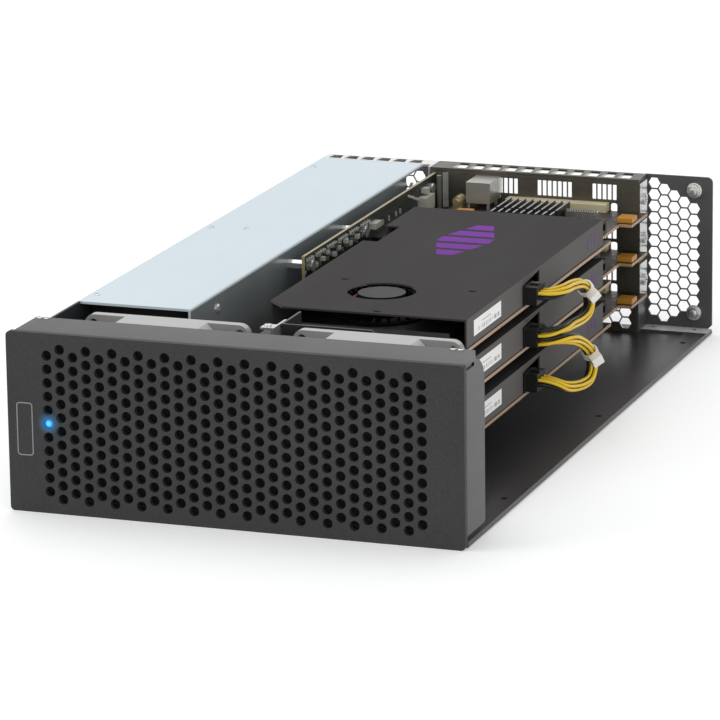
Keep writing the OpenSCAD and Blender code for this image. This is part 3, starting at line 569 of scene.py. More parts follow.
class Finish(Enum):
    """The finishes of the chassis."""

    # The plate's blue glow round the status light is painted light
    PLATE = PaintedSheet(
        "plate_coat", (40, 40, 41), (74, 74, 75), 0.5, 1500.0, painted_glow_at=tuple(at(LIGHT_X, 0, LIGHT_Z))
    )
    # The front colour is painted shade: the frame's faces behind the plate's holes are darkened
    FRAME = PaintedSheet(
        "frame_coat", (74, 74, 74), (108, 108, 108), 0.4, 1500.0, front=(16, 16, 17)
    )
    DARK = PaintedSheet("dark_coat", (38, 36, 37), (50, 48, 49), 0.36, specular=0.45)
    WALL = PaintedSheet("wall_coat", (40, 43, 48), (56, 60, 66), 0.38, specular=0.4)
    # The side colour is painted light: the shroud's sides are lit more than its top
    SHROUD = PaintedSheet(
        "shroud_coat", (54, 52, 52), (70, 68, 67), 0.5, specular=0.015, side=(102, 99, 97)
    )
    # The foot colour is the bare bottom flange, lightened as a painted reflection
    REAR = PaintedSheet(
        "rear_coat", (70, 69, 70), (88, 87, 88), 0.36, specular=0.4, foot=(196, 200, 202)
    )
    MESH = PaintedSheet("filter_mesh", (8, 9, 10), (44, 46, 48), 0.7, 1100.0, 0.0002)
    # The side colour is painted shade: the cover's side wall stands in shadow and mirrors dark parts
    GALVANISED = GalvanisedSheet(
        "zinc_sheet", (200, 213, 220), (218, 230, 237), 0.42, 0.15, side=(158, 166, 168)
    )
    ZINC = GalvanisedSheet("bright_zinc", (214, 214, 212), (246, 246, 244), 0.22, 0.8, crinkle=0.5)
    SCREW = PlainMetal("screw_plating", (222, 222, 220), 0.2, 0.75)
    # The side colour is a painted highlight: the bracket tabs and side strips catch bright
    # reflections
    BRACKET = GalvanisedSheet(
        "bracket_plating", (84, 80, 72), (104, 100, 90), 0.36, 0.6, (200, 201, 199), crinkle=0.2
    )
    PORT = PlainMetal("tinned_shell", (190, 189, 182), 0.34, 0.75, 500.0)
    COOLER = PlainMetal("cooler_metal", (150, 150, 154), 0.4)
    # The top colour is a painted highlight on the fin tops
    SINK = Moulding("black_anodised", (26, 26, 28), 0.35, specular=0.5, top=(158, 158, 160))
    BRASS = PlainMetal("gilded_brass", (206, 192, 150), 0.36, 0.8)
    BLACK = Moulding("black_moulding", (24, 24, 25))
    # The top colour is a painted highlight: the fan tops catch the light from above
    FAN = Moulding("fan_moulding", (150, 150, 147), 0.42, 0.16, top=(184, 184, 182))
    ROTOR = Moulding("rotor_moulding", (52, 52, 52), 0.4)
    # The top colour is a painted highlight on the rotor's upper faces
    BLOWER = Moulding("blower_moulding", (30, 27, 28), 0.36, specular=0.03, top=(60, 58, 62))
    CREAM = Moulding("cream_moulding", (206, 194, 158), 0.5, 0.2)
    PALE = Moulding("pale_ceramic", (196, 194, 182), 0.4, 0.3)
    AMBER = Moulding("amber_resin", (200, 140, 52), 0.35, 0.3)
    NYLON = Moulding("nylon", (240, 238, 232), 0.38, 0.08)
    YELLOW = Moulding("yellow_jacket", (238, 200, 44), 0.34, 0.18)
    JACKET = Moulding("black_jacket", (22, 22, 23), 0.34, 0.2)
    BOARD = BoardMask("backplane_mask", (22, 34, 30), (38, 58, 48), (176, 160, 118), upright=True)
    CARD = BoardMask("card_mask", (40, 33, 28), (66, 54, 42), (190, 156, 122))
    SMALL_BOARD = BoardMask("interface_mask", (20, 40, 30), (36, 62, 46), (150, 130, 90))
    FAINT = Moulding("faint_violet_print", (98, 82, 108), 0.5, specular=0.1)
    POST = Moulding("post_moulding", (112, 109, 100), 0.4)
    COIL = Moulding("dark_red_winding", (96, 34, 24), 0.4)
    MOTIF = PurpleFoil("violet_print")

    @property
    def material(self) -> Material:
        """The finish's material, built once."""
        found = bpy.data.materials.get(self.value.name)
        return found or self.value.make()


def finish_piece(
    name: str, mesh: Mesh, material: Material, smooth: bool = False
) -> bpy.types.Object:
    """Turns a bmesh into a piece that rides on the chassis.

    Args:
        name: the piece's name.
        mesh: its shape, in the model's frame; freed here.
        material: its material.
        smooth: shade smoothly where the angle is small.

    Returns:
        The piece.
    """
    bmesh.ops.remove_doubles(mesh, verts=mesh.verts, dist=WELD)
    bmesh.ops.recalc_face_normals(mesh, faces=mesh.faces)
    data = bpy.data.meshes.new(name)
    for face in mesh.faces:
        face.smooth = smooth
    if smooth:
        for edge in mesh.edges:
            if len(edge.link_faces) == 2 and edge.calc_face_angle(0) > SHARP:
                edge.smooth = False
    mesh.to_mesh(data)
    mesh.free()
    data.materials.append(material)
    piece = bpy.data.objects.new(name, data)
    bpy.context.scene.collection.objects.link(piece)
    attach(piece, CHASSIS)
    LOG.info("%s: %d faces", name, len(data.polygons))
    return piece


def block(mesh: Mesh, low: Vector, high: Vector, bevel: float = 0.0, segments: int = 2) -> None:
    """Adds a block with bevelled edges.

    Args:
        mesh: the mesh that takes it.
        low: its lower corner, in metres.
        high: its upper corner.
        bevel: width of the bevel in metres, 0 for none.
        segments: steps of the bevel.
    """
    middle = (low + high) / 2
    matrix = Matrix.Translation(middle) @ Matrix.Diagonal((*(high - low), 1.0))
    made = bmesh.ops.create_cube(mesh, size=1.0, matrix=matrix)
    if bevel:
        edges = list({e for v in made["verts"] for e in v.link_edges})
        bmesh.ops.bevel(
            mesh, geom=edges, offset=bevel, segments=segments, profile=0.5, affect="EDGES",
            material=-1, clamp_overlap=True,
        )


def disc(
    mesh: Mesh,
    centre: Vector,
    radius: float,
    height: float,
    axis: str = "Z",
    bevel: float = 0.0,
    sides: int = 32,
) -> None:
    """Adds a round post with bevelled ends.

    Args:
        mesh: the mesh that takes it.
        centre: the middle of its foot, in metres.
        radius: its radius.
        height: its length from the foot along the axis.
        axis: the axis that it stands along.
        bevel: width of the bevel in metres, 0 for none.
        sides: facets round it.
    """
    turn = {
        "Z": Matrix.Identity(4),
        "X": Matrix.Rotation(math.pi / 2, 4, "Y"),
        "Y": Matrix.Rotation(-math.pi / 2, 4, "X"),
    }[axis]
    matrix = Matrix.Translation(centre) @ turn @ Matrix.Translation((0, 0, height / 2))
    made = bmesh.ops.create_cone(
        mesh, cap_ends=True, segments=sides, radius1=radius, radius2=radius, depth=height,
        matrix=matrix,
    )
    if bevel:
        caps = {f for v in made["verts"] for f in v.link_faces if len(f.verts) == sides}
        edges = list({e for f in caps for e in f.edges})
        bmesh.ops.bevel(
            mesh, geom=edges, offset=bevel, segments=2, profile=0.5, affect="EDGES", material=-1
        )


@dataclass
class Dresser:
    """Gives carried-over nodes their finish, or puts a softened copy in their place."""

    nodes: dict[str, bpy.types.Object]

    def paint(self, finish: Finish, *names: str) -> None:
        """Gives a finish to the named nodes, whose shape stays."""
        for name in names:
            data = self.nodes[name].data
            data.materials.clear()
            data.materials.append(finish.material)

    def soften(self, name: str, finish: Finish, width: float, slot: str, segments: int = 2) -> None:
        """Replaces a node of the chassis by a copy whose edges are bevelled.

        Args:
            name: the node.
            finish: its finish.
            width: width of the bevel in metres.
            slot: not used.
            segments: steps of the bevel.
        """
        mesh = bmesh.new()
        mesh.from_mesh(self.nodes[name].data)
        bmesh.ops.remove_doubles(mesh, verts=mesh.verts, dist=NODE_WELD)
        bmesh.ops.dissolve_limit(mesh, angle_limit=FLAT, verts=mesh.verts, edges=mesh.edges)
        piece = finish_piece(f"{name}_soft", mesh, finish.material, smooth=True)
        bevel = piece.modifiers.new("edge", "BEVEL")
        bevel.width = width
        bevel.segments = segments
        bevel.limit_method = "ANGLE"
        bevel.angle_limit = SHARP
        bevel.use_clamp_overlap = True
        bevel.harden_normals = True
        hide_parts(name)


@dataclass
class Stage:
    """Pale floor, white surroundings, soft lamps and the camera.

    A light of the surroundings is (colour, strength), and a lamp is (name, place, target, width,
    power) in metres and watts.
    """

    camera_at: Point = (0.73054, -2.05281, 0.59641)
    azimuth: float = 19.892
    elevation: float = 14.618
    roll: float = -0.7516
    lens: float = 233.545
    soft_light: tuple[Shade, float] = ((0.98, 0.99, 1.0, 1.0), 0.7)
    seen_light: tuple[Shade, float] = ((1.0, 1.0, 1.0, 1.0), 1.0)
    lamps: tuple[tuple[str, Point, Point, float, float], ...] = (
        ("top", (-0.5, 0.3, 1.9), (0.0, 0.05, 0.03), 1.6, 9.0),
        ("left", (-1.9, -1.2, 1.1), (0.0, -0.1, 0.03), 1.2, 12.0),
        ("front", (1.3, -2.2, 0.9), (0.05, 0.0, 0.03), 1.0, 7.0),
    )
    floor_half: float = 4.0
    floor_tones: tuple[Shade, Shade] = ((0.95, 0.95, 0.95, 1.0), (0.93, 0.93, 0.93, 1.0))

    def build(self) -> None:
        """Makes everything that isn't part of the object."""
        bpy.context.scene.view_settings.view_transform = "Standard"
        self.camera()
        self.world()
        self.floor()
        self.light()

    def camera(self) -> None:
        """The camera at the photograph's viewing angle, turned about its axis by the roll."""
        az, el, roll = (math.radians(v) for v in (self.azimuth, self.elevation, self.roll))
        back = Vector((math.sin(az) * math.cos(el), -math.cos(az) * math.cos(el), math.sin(el)))
        right = (-back).cross(Vector((0, 0, 1))).normalized()
        up = right.cross(-back)
        tilted = right * math.cos(roll) + up * math.sin(roll)
        raised = up * math.cos(roll) - right * math.sin(roll)
        data = bpy.data.cameras.new("view")
        data.lens = self.lens
        data.sensor_width = 36.0
        data.clip_end = 20.0
        camera = bpy.data.objects.new("view", data)
        turn = Matrix((tilted, raised, back)).transposed().to_4x4()
        camera.matrix_world = Matrix.Translation(self.camera_at) @ turn
        bpy.context.scene.collection.objects.link(camera)
        bpy.context.scene.camera = camera

    def world(self) -> None:
        """Even pale surroundings, which are brighter where they are seen or mirrored."""
        world = bpy.data.worlds.new("surroundings")
        world.use_nodes = True
        nodes, links = world.node_tree.nodes, world.node_tree.links
        nodes.clear()
        path = nodes.new("ShaderNodeLightPath")
        shown = nodes.new("ShaderNodeMath")
        shown.operation = "MAXIMUM"
        links.new(path.outputs["Is Camera Ray"], shown.inputs[0])
        links.new(path.outputs["Is Glossy Ray"], shown.inputs[1])
        mix = nodes.new("ShaderNodeMixShader")
        links.new(shown.outputs[0], mix.inputs[0])
        for socket, (colour, strength) in enumerate((self.soft_light, self.seen_light), 1):
            glow = nodes.new("ShaderNodeBackground")
            glow.inputs["Color"].default_value = colour
            glow.inputs["Strength"].default_value = strength
            links.new(glow.outputs[0], mix.inputs[socket])
        out = nodes.new("ShaderNodeOutputWorld")
        links.new(mix.outputs[0], out.inputs["Surface"])
        bpy.context.scene.world = world

    def floor(self) -> None:
        """A wide pale floor at the foot of the chassis."""
        mesh = bmesh.new()
        bmesh.ops.create_grid(mesh, x_segments=2, y_segments=2, size=self.floor_half)
        data = bpy.data.meshes.new("floor")
        mesh.to_mesh(data)
        mesh.free()
        tree = Tree("floor_paint")
        tone = tree.mix(tree.noise(scale=30, detail=2) * 0.2, *self.floor_tones)
        paint = tree.surface(
            base_color=tone, roughness=0.6, emission_color=tone, emission_strength=0.2
        )
        data.materials.append(paint)
        floor = bpy.data.objects.new("floor", data)
        bpy.context.scene.collection.objects.link(floor)

    def light(self) -> None:
        """Large soft square lamps: above, at the left and low in front."""
        for name, place, target, size, power in self.lamps:
            data = bpy.data.lights.new(name, "AREA")
            data.size = size
            data.energy = power
            lamp = bpy.data.objects.new(name, data)
            lamp.location = place
            aim = Vector(target) - Vector(place)
            lamp.rotation_euler = aim.to_track_quat("-Z", "Y").to_euler()
            bpy.context.scene.collection.objects.link(lamp)


@dataclass
class FrontPanel:
    """Perforated plate, its status light and the bare place of a badge; sizes in millimetres."""

    dresser: Dresser
    badge_x: Span = (4.3, 12.2)
    badge_z: Span = (26.3, 51.0)
    badge_corner: float = 1.6
    rim_w: float = 0.5
    rim_t: float = 0.09
    rim_steps: int = 24
    mesh_x: Span = (9.6, 204.0)
    mesh_y: Span = (4.24, 5.8)
    mesh_z: Span = (3.2, 81.7)
    holder_right: float = 23.6
    holder_z: Span = (37.4, 46.2)
    lens_y: float = 1.0
    lens_r: float = 2.1
    lens_l: float = 3.2
    lens_bevel: float = 0.4
    dome_r: float = 1.9
    dome_share: float = 0.35

    def build(self) -> None:
        """Dresses the panel."""
        dresser = self.dresser
        dresser.soften("front_plate", Finish.PLATE, 0.00022, "plate", segments=1)
        dresser.soften("front_frame", Finish.FRAME, 0.00018, "frame_sheet")
        dresser.paint(Finish.BLACK, "light_holder")
        self.badge_rim()
        self.filter_mesh()
        self.status_light()

    def badge_rim(self) -> None:
        """A hair-thin raised rim with round corners, about an empty field."""
        mesh = bmesh.new()
        (left, right), (low, high) = self.badge_x, self.badge_z
        centre = at((left + right) / 2, 0, (low + high) / 2)
        wide = (right - left) / 2 - self.badge_corner
        tall = (high - low) / 2 - self.badge_corner
        outer, inner = self.badge_corner, self.badge_corner - self.rim_w
        rings = []
        for radius, y in ((outer, 0), (outer, -self.rim_t), (inner, -self.rim_t), (inner, 0)):
            ring = []
            for step in range(self.rim_steps):
                angle = math.tau * step / self.rim_steps
                across, up = math.cos(angle), math.sin(angle)
                x = (wide if across > 0 else -wide) + radius * across
                z = (tall if up > 0 else -tall) + radius * up
                ring.append(mesh.verts.new(centre + Vector((x, y, z)) * MM))
            rings.append(ring)
        for first, second in zip(rings, rings[1:]):
            for step in range(self.rim_steps):
                after = (step + 1) % self.rim_steps
                mesh.faces.new((first[step], first[after], second[after], second[step]))
        ink = PaintedSheet("badge_rim_print", (128, 128, 130), (146, 146, 148), 0.5)
        finish_piece("badge_rim", mesh, ink.make())

    def filter_mesh(self) -> None:
        """The fine dark mesh behind the holes, cut round the light's holder."""
        mesh = bmesh.new()
        (left, right), (front, rear), (low, high) = self.mesh_x, self.mesh_y, self.mesh_z
        under, over = self.holder_z
        block(mesh, at(left, front, low), at(self.holder_right, rear, under))
        block(mesh, at(left, front, over), at(self.holder_right, rear, high))
        block(mesh, at(self.holder_right, front, low), at(right, rear, high))
        finish_piece("filter_mesh", mesh, Finish.MESH.material)

    def status_light(self) -> None:
        """A domed lens in place of the plain pin."""
        mesh = bmesh.new()
        centre = at(LIGHT_X, self.lens_y, LIGHT_Z)
        disc(mesh, centre, self.lens_r * MM, self.lens_l * MM, "Y", self.lens_bevel * MM)
        radius = self.dome_r * MM
        dome = bmesh.ops.create_uvsphere(mesh, u_segments=24, v_segments=12, radius=radius)
        flatten = Matrix.Translation(centre) @ Matrix.Diagonal((1, self.dome_share, 1, 1))
        bmesh.ops.transform(mesh, matrix=flatten, verts=dome["verts"])
        glow = Glow("blue_lens", tuple(centre), self.lens_r * MM, (0, 104, 196), (112, 212, 250))
        piece = finish_piece("status_lens", mesh, glow.make(), smooth=True)
        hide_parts("status_light")


@dataclass
class Shell:
    """Base, walls, rear panels, the power supply and the thumb screws; sizes in millimetres.

    A thumb head's steps are (start, radius, depth, bevel), where start is the distance from the
    flange in front of which it stands.
    """

    dresser: Dresser
    screw_x: float = 207.0
    screw_y: float = 400.8
    screw_z: Span = (75.3, 10.9)
    head_steps: tuple[tuple[float, float, float, float], ...] = (
        (0.0, 4.0, 1.1, 0.2),
        (1.1, 3.3, 1.5, 0.2),
        (2.6, 1.9, 1.8, 0.3),
    )
    head_sides: int = 48
    ridges: int = 24
    ridge_at: float = 3.3
    ridge_start: float = 2.5
    ridge_r: float = 0.22
    ridge_l: float = 1.3
    shank_r: float = 2.1
    shank_l: float = 3.0
    shank_bevel: float = 0.3

    def build(self) -> None:
        """Dresses the sheet parts."""
        dresser = self.dresser
        for name in ("base_tray", "base_rail"):
            dresser.soften(name, Finish.DARK, 0.00018, "dark_sheet")
        dresser.soften("left_wall", Finish.WALL, 0.00015, "dark_sheet")
        dresser.paint(Finish.REAR, "rear_panel_right")
        dresser.paint(Finish.BRACKET, "rear_wall", "rear_vents", "rear_flange")
        dresser.paint(Finish.ZINC, "rear_panel_left")
        dresser.soften("rear_post", Finish.POST, 0.0002, "pale_plastic")
        dresser.soften("psu_cover", Finish.GALVANISED, 0.00018, "galvanised")
        dresser.soften("psu_unit", Finish.DARK, 0.0003, "dark_sheet")
        dresser.soften("support_bracket", Finish.DARK, 0.00016, "dark_sheet")
        dresser.soften("mains_inlet", Finish.BLACK, 0.0002, "black_plastic")
        screws = ("frame_screws", "psu_screws", "support_tab", "backplane_standoffs")
        dresser.paint(Finish.SCREW, *screws)
        self.captive_screws()

    def captive_screws(self) -> None:
        """Knurled thumb heads in place of the plain ones."""
        mesh = bmesh.new()
        for z in self.screw_z:
            centre = at(self.screw_x, self.screw_y, z)
            for start, radius, depth, bevel in self.head_steps:
                foot = centre - Vector((0, (start + depth) * MM, 0))
                disc(mesh, foot, radius * MM, depth * MM, "Y", bevel * MM, self.head_sides)
            for i in range(self.ridges):
                turn = Matrix.Rotation(i * math.tau / self.ridges, 4, "Y")
                ridge = centre + turn @ Vector((self.ridge_at * MM, 0, 0))
                foot = ridge - Vector((0, self.ridge_start * MM, 0))
                disc(mesh, foot, self.ridge_r * MM, self.ridge_l * MM, "Y", sides=6)
            disc(mesh, centre, self.shank_r * MM, self.shank_l * MM, "Y", self.shank_bevel * MM)
        material = Finish.SCREW.material
        heads = finish_piece("captive_screw_heads", mesh, material, smooth=True)
        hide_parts("captive_screws")


@dataclass
class Fans:
    """Two axial fans."""

    dresser: Dresser

    def build(self) -> None:
        """Dresses the frames and rotors."""
        for side in ("left", "right"):
            self.dresser.soften(f"fan_frame_{side}", Finish.FAN, 0.0003, "fan_plastic")
            self.dresser.paint(Finish.ROTOR, f"fan_rotor_{side}")


@dataclass
class Electronics:
    """Backplane, slots and the small interface board; sizes in millimetres."""

    dresser: Dresser
    face: float = 73.97
    row_y: float = 188.0
    row_z: float = 78.9
    row_pitch: float = 3.2
    row_count: int = 28
    contact_y: float = 186.0
    contact_z: float = 71.0
    contact_pitch: float = 2.6
    contact_count: int = 36
    upright_y: tuple[float, ...] = (288.0, 297.0, 306.0, 316.5, 323.0)
    upright_z: Span = (71.4, 74.0)
    post_y: float = 337.0
    post_z: float = 77.4
    post_drop: float = 0.9
    post_count: int = 9

    def build(self) -> None:
        """Dresses the boards."""
        dresser = self.dresser
        dresser.paint(Finish.BOARD, "backplane")
        dresser.paint(Finish.SMALL_BOARD, "interface_board")
        dresser.paint(Finish.PORT, "data_ports")
        dresser.paint(Finish.BLACK, "slot_connectors")
        dresser.paint(Finish.PALE, "backplane_parts")
        self.small_parts()

    def chip(self, mesh: Mesh, y: Span, z: Span, out: float, bevel: float = 0.08) -> None:
        """Adds a small block to the backplane's right face, out from it by so much."""
        low, high = at(self.face - SUNK, y[0], z[0]), at(self.face + out, y[1], z[1])
        block(mesh, low, high, bevel * MM, 1 if bevel < 0.08 else 2)

    def small_parts(self) -> None:
        """Rows of tiny chips, contacts and posts along the top of the backplane's right face."""
        pale, bright = bmesh.new(), bmesh.new()
        for i in range(self.row_count):
            if i % 5 == 3:
                continue
            y = self.row_y + i * self.row_pitch
            tall = 1.6 + 0.5 * (i % 3)
            self.chip(pale, (y, y + 0.6), (self.row_z - tall, self.row_z), 0.7)
            self.chip(bright, (y + 0.9, y + 2.3), (self.row_z - 0.3 - tall, self.row_z - 0.5), 1.1)
        for i in range(self.contact_count):
            y = self.contact_y + i * self.contact_pitch
            z = self.contact_z + 0.6 * ((i * 7) % 4)
            self.chip(bright, (y, y + 0.7), (z, z + 2.0), 0.5, 0.05)
        for y in self.upright_y:
            self.chip(pale, (y, y + 0.6), self.upright_z, 0.9)
        for i in range(self.post_count):
            y, z = self.post_y + i * self.contact_pitch, self.post_z - i * self.post_drop
            foot = at(self.face - SUNK, y, z)
            disc(pale, foot, 0.8 * MM, (0.8 + 0.3 * (i % 3)) * MM, "X", 0.0001, 12)
        finish_piece("backplane_chips", pale, Finish.PALE.material)
        finish_piece("backplane_contacts", bright, Finish.SCREW.material)


@dataclass
class Cards:
    """Three add-in cards with shrouds, blowers, brackets and parts; sizes in millimetres."""

    dresser: Dresser
    side_x: float = 185.9
    label_y: Span = (105.5, 145.5)
    label_z: Span = (5.0, 12.5)
    print_t: float = 0.08
    motif_x: float = 135.0
    motif_y: float = 246.0
    motif_half: float = 15.0
    motif_taper: float = 0.34
    motif_tip: float = 4.0
    stripe_pitch: float = 13.6
    stripe_half: float = 4.8
    marks: tuple[Span, ...] = ((282.6, -9.9), (288.4, -8.2), (294.2, -10.3))
    mark_size: Span = (4.4, 4.9)
    blower_x: float = 130.67
    blower_y: float = 136.3
    coil_ring: float = 13.4
    coil_drop: float = 4.6
    coil_r: float = 1.0
    coil_h: float = 1.6
    coil_start: float = 150
    coil_step: float = 9
    coil_count: int = 9
    chips_x: float = 91.0
    chips_y: float = 312.0
    chip_field: tuple[int, int] = (82, 19)
    chip_count: int = 30

    def build(self) -> None:
        """Dresses the cards."""
        dresser = self.dresser
        for k in (1, 2, 3):
            dresser.paint(Finish.CARD, f"card_board_{k}")
            dresser.soften(f"card_shroud_{k}", Finish.SHROUD, 0.00018, "shroud")
            dresser.paint(Finish.BRACKET, f"card_bracket_{k}")
            dresser.paint(Finish.BLOWER, f"blower_rotor_{k}")
        dresser.paint(Finish.COOLER, "card_coolers")
        dresser.soften("card_sockets", Finish.BLACK, 0.0002, "black_plastic")
        dresser.soften("card_heat_sinks", Finish.SINK, 0.00012, "black_metal", segments=1)
        dresser.soften("card_ports", Finish.PORT, 0.0002, "port_metal")
        dresser.soften("card_port_blocks", Finish.CREAM, 0.0003, "pale_plastic")
        dresser.paint(Finish.PORT, "card_pin_headers")
        dresser.soften("card_edge_headers", Finish.BLACK, 0.00025, "black_plastic")
        dresser.soften("card_capacitors", Finish.AMBER, 0.0004, "amber_parts")
        dresser.paint(Finish.BRASS, "card_coax")
        dresser.paint(Finish.SCREW, "bracket_screws")
        for k, z in enumerate(CARD_Z, 1):
            shroud_top = z + BOARD_T + SHROUD_H
            self.label(k, z)
            self.motif(k, shroud_top)
            self.side_marks(k, shroud_top)
            self.coil(k, shroud_top)
            self.chips(k, z + BOARD_T)

    def label(self, k: int, z: float) -> None:
        """A white label on the side of shroud k, whose board's underside is at z."""
        low = at(self.side_x, self.label_y[0], z + self.label_z[0])
        high = at(self.side_x + self.print_t, self.label_y[1], z + self.label_z[1])
        mesh = bmesh.new()
        block(mesh, low, high, 0.00003, 1)
        paper = LabelPaper(f"label_print_{k}", tuple(low), tuple(high))
        finish_piece(f"label_{k}", mesh, paper.make())

    def motif(self, k: int, z: float) -> None:
        """A generic print on the top of shroud k, at z: a long hexagon cut into five stripes."""
        mesh = bmesh.new()
        for stripe in range(-2, 3):
            near = stripe * self.stripe_pitch - self.stripe_half
            far = stripe * self.stripe_pitch + self.stripe_half
            first, last = self.half_at(near), self.half_at(far)
            outline = ((-first, near), (first, near), (last, far), (-last, far))
            spots = (at(self.motif_x + x, self.motif_y + y, z - SUNK) for x, y in outline)
            mesh.faces.new([mesh.verts.new(spot) for spot in spots])
        body = bmesh.ops.extrude_face_region(mesh, geom=mesh.faces[:])
        top = [v for v in body["geom"] if isinstance(v, bmesh.types.BMVert)]
        bmesh.ops.translate(mesh, vec=(0, 0, self.print_t * MM), verts=top)
        finish_piece(f"motif_{k}", mesh, Finish.MOTIF.material)

    def half_at(self, y: float) -> float:
        """Half width of the motif at a distance from its middle."""
        return max(self.motif_tip, self.motif_half - abs(y) * self.motif_taper)

    def side_marks(self, k: int, z: float) -> None:
        """Three faint printed squares on the side of shroud k, whose top is at z."""
        mesh = bmesh.new()
        left = self.side_x - SUNK
        deep, tall = self.mark_size
        for y, low in self.marks:
            high = at(left + self.print_t, y + deep, z + low + tall)
            block(mesh, at(left, y, z + low), high)
        finish_piece(f"side_motif_{k}", mesh, Finish.FAINT.material)

    def coil(self, k: int, z: float) -> None:
        """The windings at the left of blower k's hub, under the shroud's top at z."""
        mesh = bmesh.new()
        for i in range(self.coil_count):
            angle = math.radians(self.coil_start + i * self.coil_step)
            x = self.blower_x + self.coil_ring * math.cos(angle)
            y = self.blower_y + self.coil_ring * math.sin(angle)
            foot = at(x, y, z - self.coil_drop)
            disc(mesh, foot, self.coil_r * MM, self.coil_h * MM, bevel=0.0002, sides=12)
        finish_piece(f"winding_{k}", mesh, Finish.COIL.material, smooth=True)

    def chips(self, k: int, z: float) -> None:
        """Small parts scattered over board k behind its shroud; the board's top is at z."""
        mesh = bmesh.new()
        for i in range(self.chip_count):
            x = self.chips_x + (i * 37) % self.chip_field[0]
            y = self.chips_y + (i * 23) % self.chip_field[1]
            wide, deep, tall = 1.0 + 0.6 * (i % 3), 0.8 + 0.5 * (i % 2), 0.5 + 0.3 * (i % 4)
            block(mesh, at(x, y, z - SUNK), at(x + wide, y + deep, z + tall), 0.00008)
        finish_piece(f"card_chips_{k}", mesh, Finish.PALE.material)


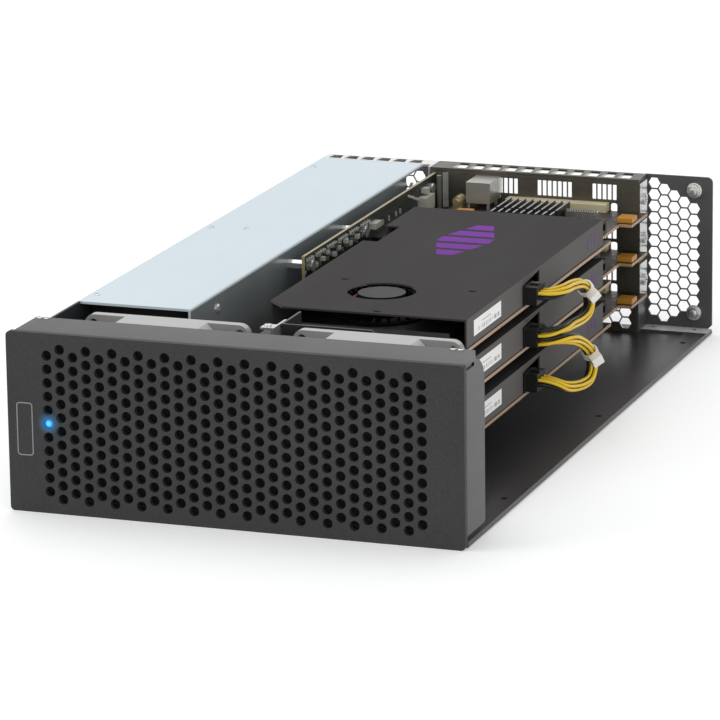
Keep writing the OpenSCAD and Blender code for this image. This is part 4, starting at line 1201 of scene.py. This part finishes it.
@dataclass
class Harness:
    """Power plugs, the wires of two loops between them and their ties; sizes in millimetres.

    A loop's stations are (out, rear, share): distances from the plugs' outer face and from their
    middle, and the share of the drop from one card's plug to the next.
    """

    dresser: Dresser
    wires: int = 6
    wire_r: float = 0.8
    bundle_r: float = 2.1
    contact_pitch: float = 4.2
    contact_row: float = 1.2
    socket_wall: float = 1.2
    plug_foot: float = 0.8
    plug_gap: float = 0.1
    plug_right: float = 192.77
    plug_y: float = 185.2
    gather: float = 3.4
    steps: int = 3
    loops: tuple[tuple[Point, ...], ...] = (
        (
            (0, 0, 0), (3, 0.5, 0), (6, 3, -0.01), (8.5, 9.5, -0.02),
            (7.5, 23, 0.05), (7.5, 35.5, 0.15), (7, 46, 0.33), (7.5, 51, 0.55),
            (8, 51.5, 0.8), (8, 47, 0.98), (7.5, 38, 1.04), (8, 22, 0.96),
            (8.5, 9.5, 0.9), (6, 3, 0.89), (3, 0.5, 0.9), (0, 0, 0.9),
        ),
        (
            (0, 0, 0.1), (3.5, 0.5, 0.1), (7, 2.5, 0.1), (10.5, 8, 0.12),
            (12, 17.5, 0.24), (12, 31, 0.51), (12.5, 38, 0.76), (13, 40, 1),
            (13, 38, 1.22), (12.5, 33, 1.34), (11.5, 21.5, 1.32), (10, 8, 1.2),
            (7, 2.5, 1.08), (3.5, 0.5, 1.02), (0, 0, 1),
        ),
    )

    def build(self) -> None:
        """Makes the wires, three of each colour in a loop, then dresses the plugs and ties."""
        for k, shades in enumerate((("yellow", "black"), ("black", "yellow"))):
            for w in range(self.wires):
                self.wire(k, w, shades[w // 3])
        self.dresser.soften("power_plugs", Finish.BLACK, 0.00025, "black_plastic")
        self.dresser.soften("zip_ties", Finish.NYLON, 0.00025, "white_plastic")

    def stations(self, k: int) -> list[Vector]:
        """Centre line of loop k, through its stations."""
        socket_h = 2 * self.contact_pitch + self.socket_wall
        top = CARD_Z[k] + BOARD_T + (self.plug_foot + socket_h - self.plug_gap) / 2
        drop = CARD_Z[k] - CARD_Z[k + 1]
        knots = [
            Vector((self.plug_right + out, self.plug_y + rear, top - share * drop))
            for out, rear, share in self.loops[k]
        ]
        return smooth_curve(knots, self.steps)

    def route(self, k: int, w: int) -> list[Vector]:
        """Centre line of one wire.

        Args:
            k: the loop, 0 between the upper two cards and 1 between the lower two.
            w: the wire's number in the loop.

        Returns:
            Its points, from plug to plug: at its contacts, and in the bundle between them.
        """
        centre = self.stations(k)
        along = directions(centre)
        normal = carried_normals(along)
        last = len(centre) - 1
        twist = math.atan2(normal[last].z, normal[last].y)
        column, row = w % 3 - 1, 1 if w < 3 else -1
        contact = Vector((column * self.contact_pitch, row * self.contact_row))
        outer = (k == 0) == (w < 3)
        place = 150 - column * 60 if outer else 330 + column * 60
        angle = math.radians(place if k == 0 else -place)
        ring = self.bundle_r * Vector((math.cos(angle), math.sin(angle)))
        points = []
        for i, middle in enumerate(centre):
            joined = min(1.0, self.gather * min(i, last - i) / last)
            share = joined * joined * (3 - 2 * joined)
            offset = contact.lerp(ring, share)
            turn = twist * i / last
            side = math.cos(turn) * offset.x - math.sin(turn) * offset.y
            lift = math.sin(turn) * offset.x + math.cos(turn) * offset.y
            points.append(middle + side * normal[i] + lift * along[i].cross(normal[i]))
        return points

    def wire(self, k: int, w: int, shade: str) -> None:
        """Adds one wire as a round curve.

        Args:
            k: the loop.
            w: the wire's number in the loop.
            shade: yellow or black.
        """
        points = smooth_curve(self.route(k, w), self.steps)
        name = f"wire_{k + 1}_{w + 1}_{shade}"
        data = bpy.data.curves.new(name, "CURVE")
        data.dimensions = "3D"
        data.bevel_depth = self.wire_r * MM
        data.bevel_resolution = 3
        data.use_fill_caps = True
        spline = data.splines.new("POLY")
        spline.points.add(len(points) - 1)
        placed = [at(*p) for p in points]
        for knot, p in zip(spline.points, placed):
            knot.co = (*p, 1.0)
        spline.use_smooth = True
        finish = Finish.YELLOW if shade == "yellow" else Finish.JACKET
        data.materials.append(finish.material)
        wire = bpy.data.objects.new(name, data)
        bpy.context.scene.collection.objects.link(wire)
        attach(wire, CHASSIS)
        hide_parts(f"wires_{shade}_{k + 1}")


def curve_point(a: Vector, b: Vector, c: Vector, d: Vector, t: float) -> Vector:
    """Point on a smooth curve through four points, t from 0 to 1 between the middle two."""
    square = 2 * a - 5 * b + 4 * c - d
    cube = 3 * b - a - 3 * c + d
    return 0.5 * (2 * b + (c - a) * t + square * t * t + cube * t * t * t)


def smooth_curve(knots: Sequence[Vector], steps: int) -> list[Vector]:
    """Divides a smooth curve through knots.

    Args:
        knots: the points that it passes.
        steps: its pieces from one knot to the next.

    Returns:
        Its points, knots included.
    """
    last = len(knots) - 1
    points = [
        curve_point(
            knots[max(i - 1, 0)], knots[i], knots[i + 1], knots[min(i + 2, last)], j / steps
        )
        for i in range(last)
        for j in range(steps)
    ]
    return points + [knots[last].copy()]


def directions(points: Sequence[Vector]) -> list[Vector]:
    """Direction of a wire's curve at each point; straight out of and into the plugs."""
    last = len(points) - 1
    middle = [(points[i + 1] - points[i - 1]).normalized() for i in range(1, last)]
    return [Vector((1, 0, 0)), *middle, Vector((-1, 0, 0))]


def carried_normals(along: Sequence[Vector]) -> list[Vector]:
    """Normals carried along a curve without twist."""
    normal = Vector((0, 1, 0))
    carried = []
    for direction in along:
        normal = (normal - normal.dot(direction) * direction).normalized()
        carried.append(normal)
    return carried


def main() -> None:
    """Loads the frame and dresses each sub-assembly in turn."""
    logging.basicConfig(level=logging.INFO, format="%(name)s: %(message)s")
    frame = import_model()
    Stage().build()
    dresser = Dresser(frame["nodes"])
    for part in (Harness, FrontPanel, Shell, Fans, Electronics, Cards):
        part(dresser).build()
        LOG.info("%s done", part.__name__)


if __name__ == "__main__":
    main()
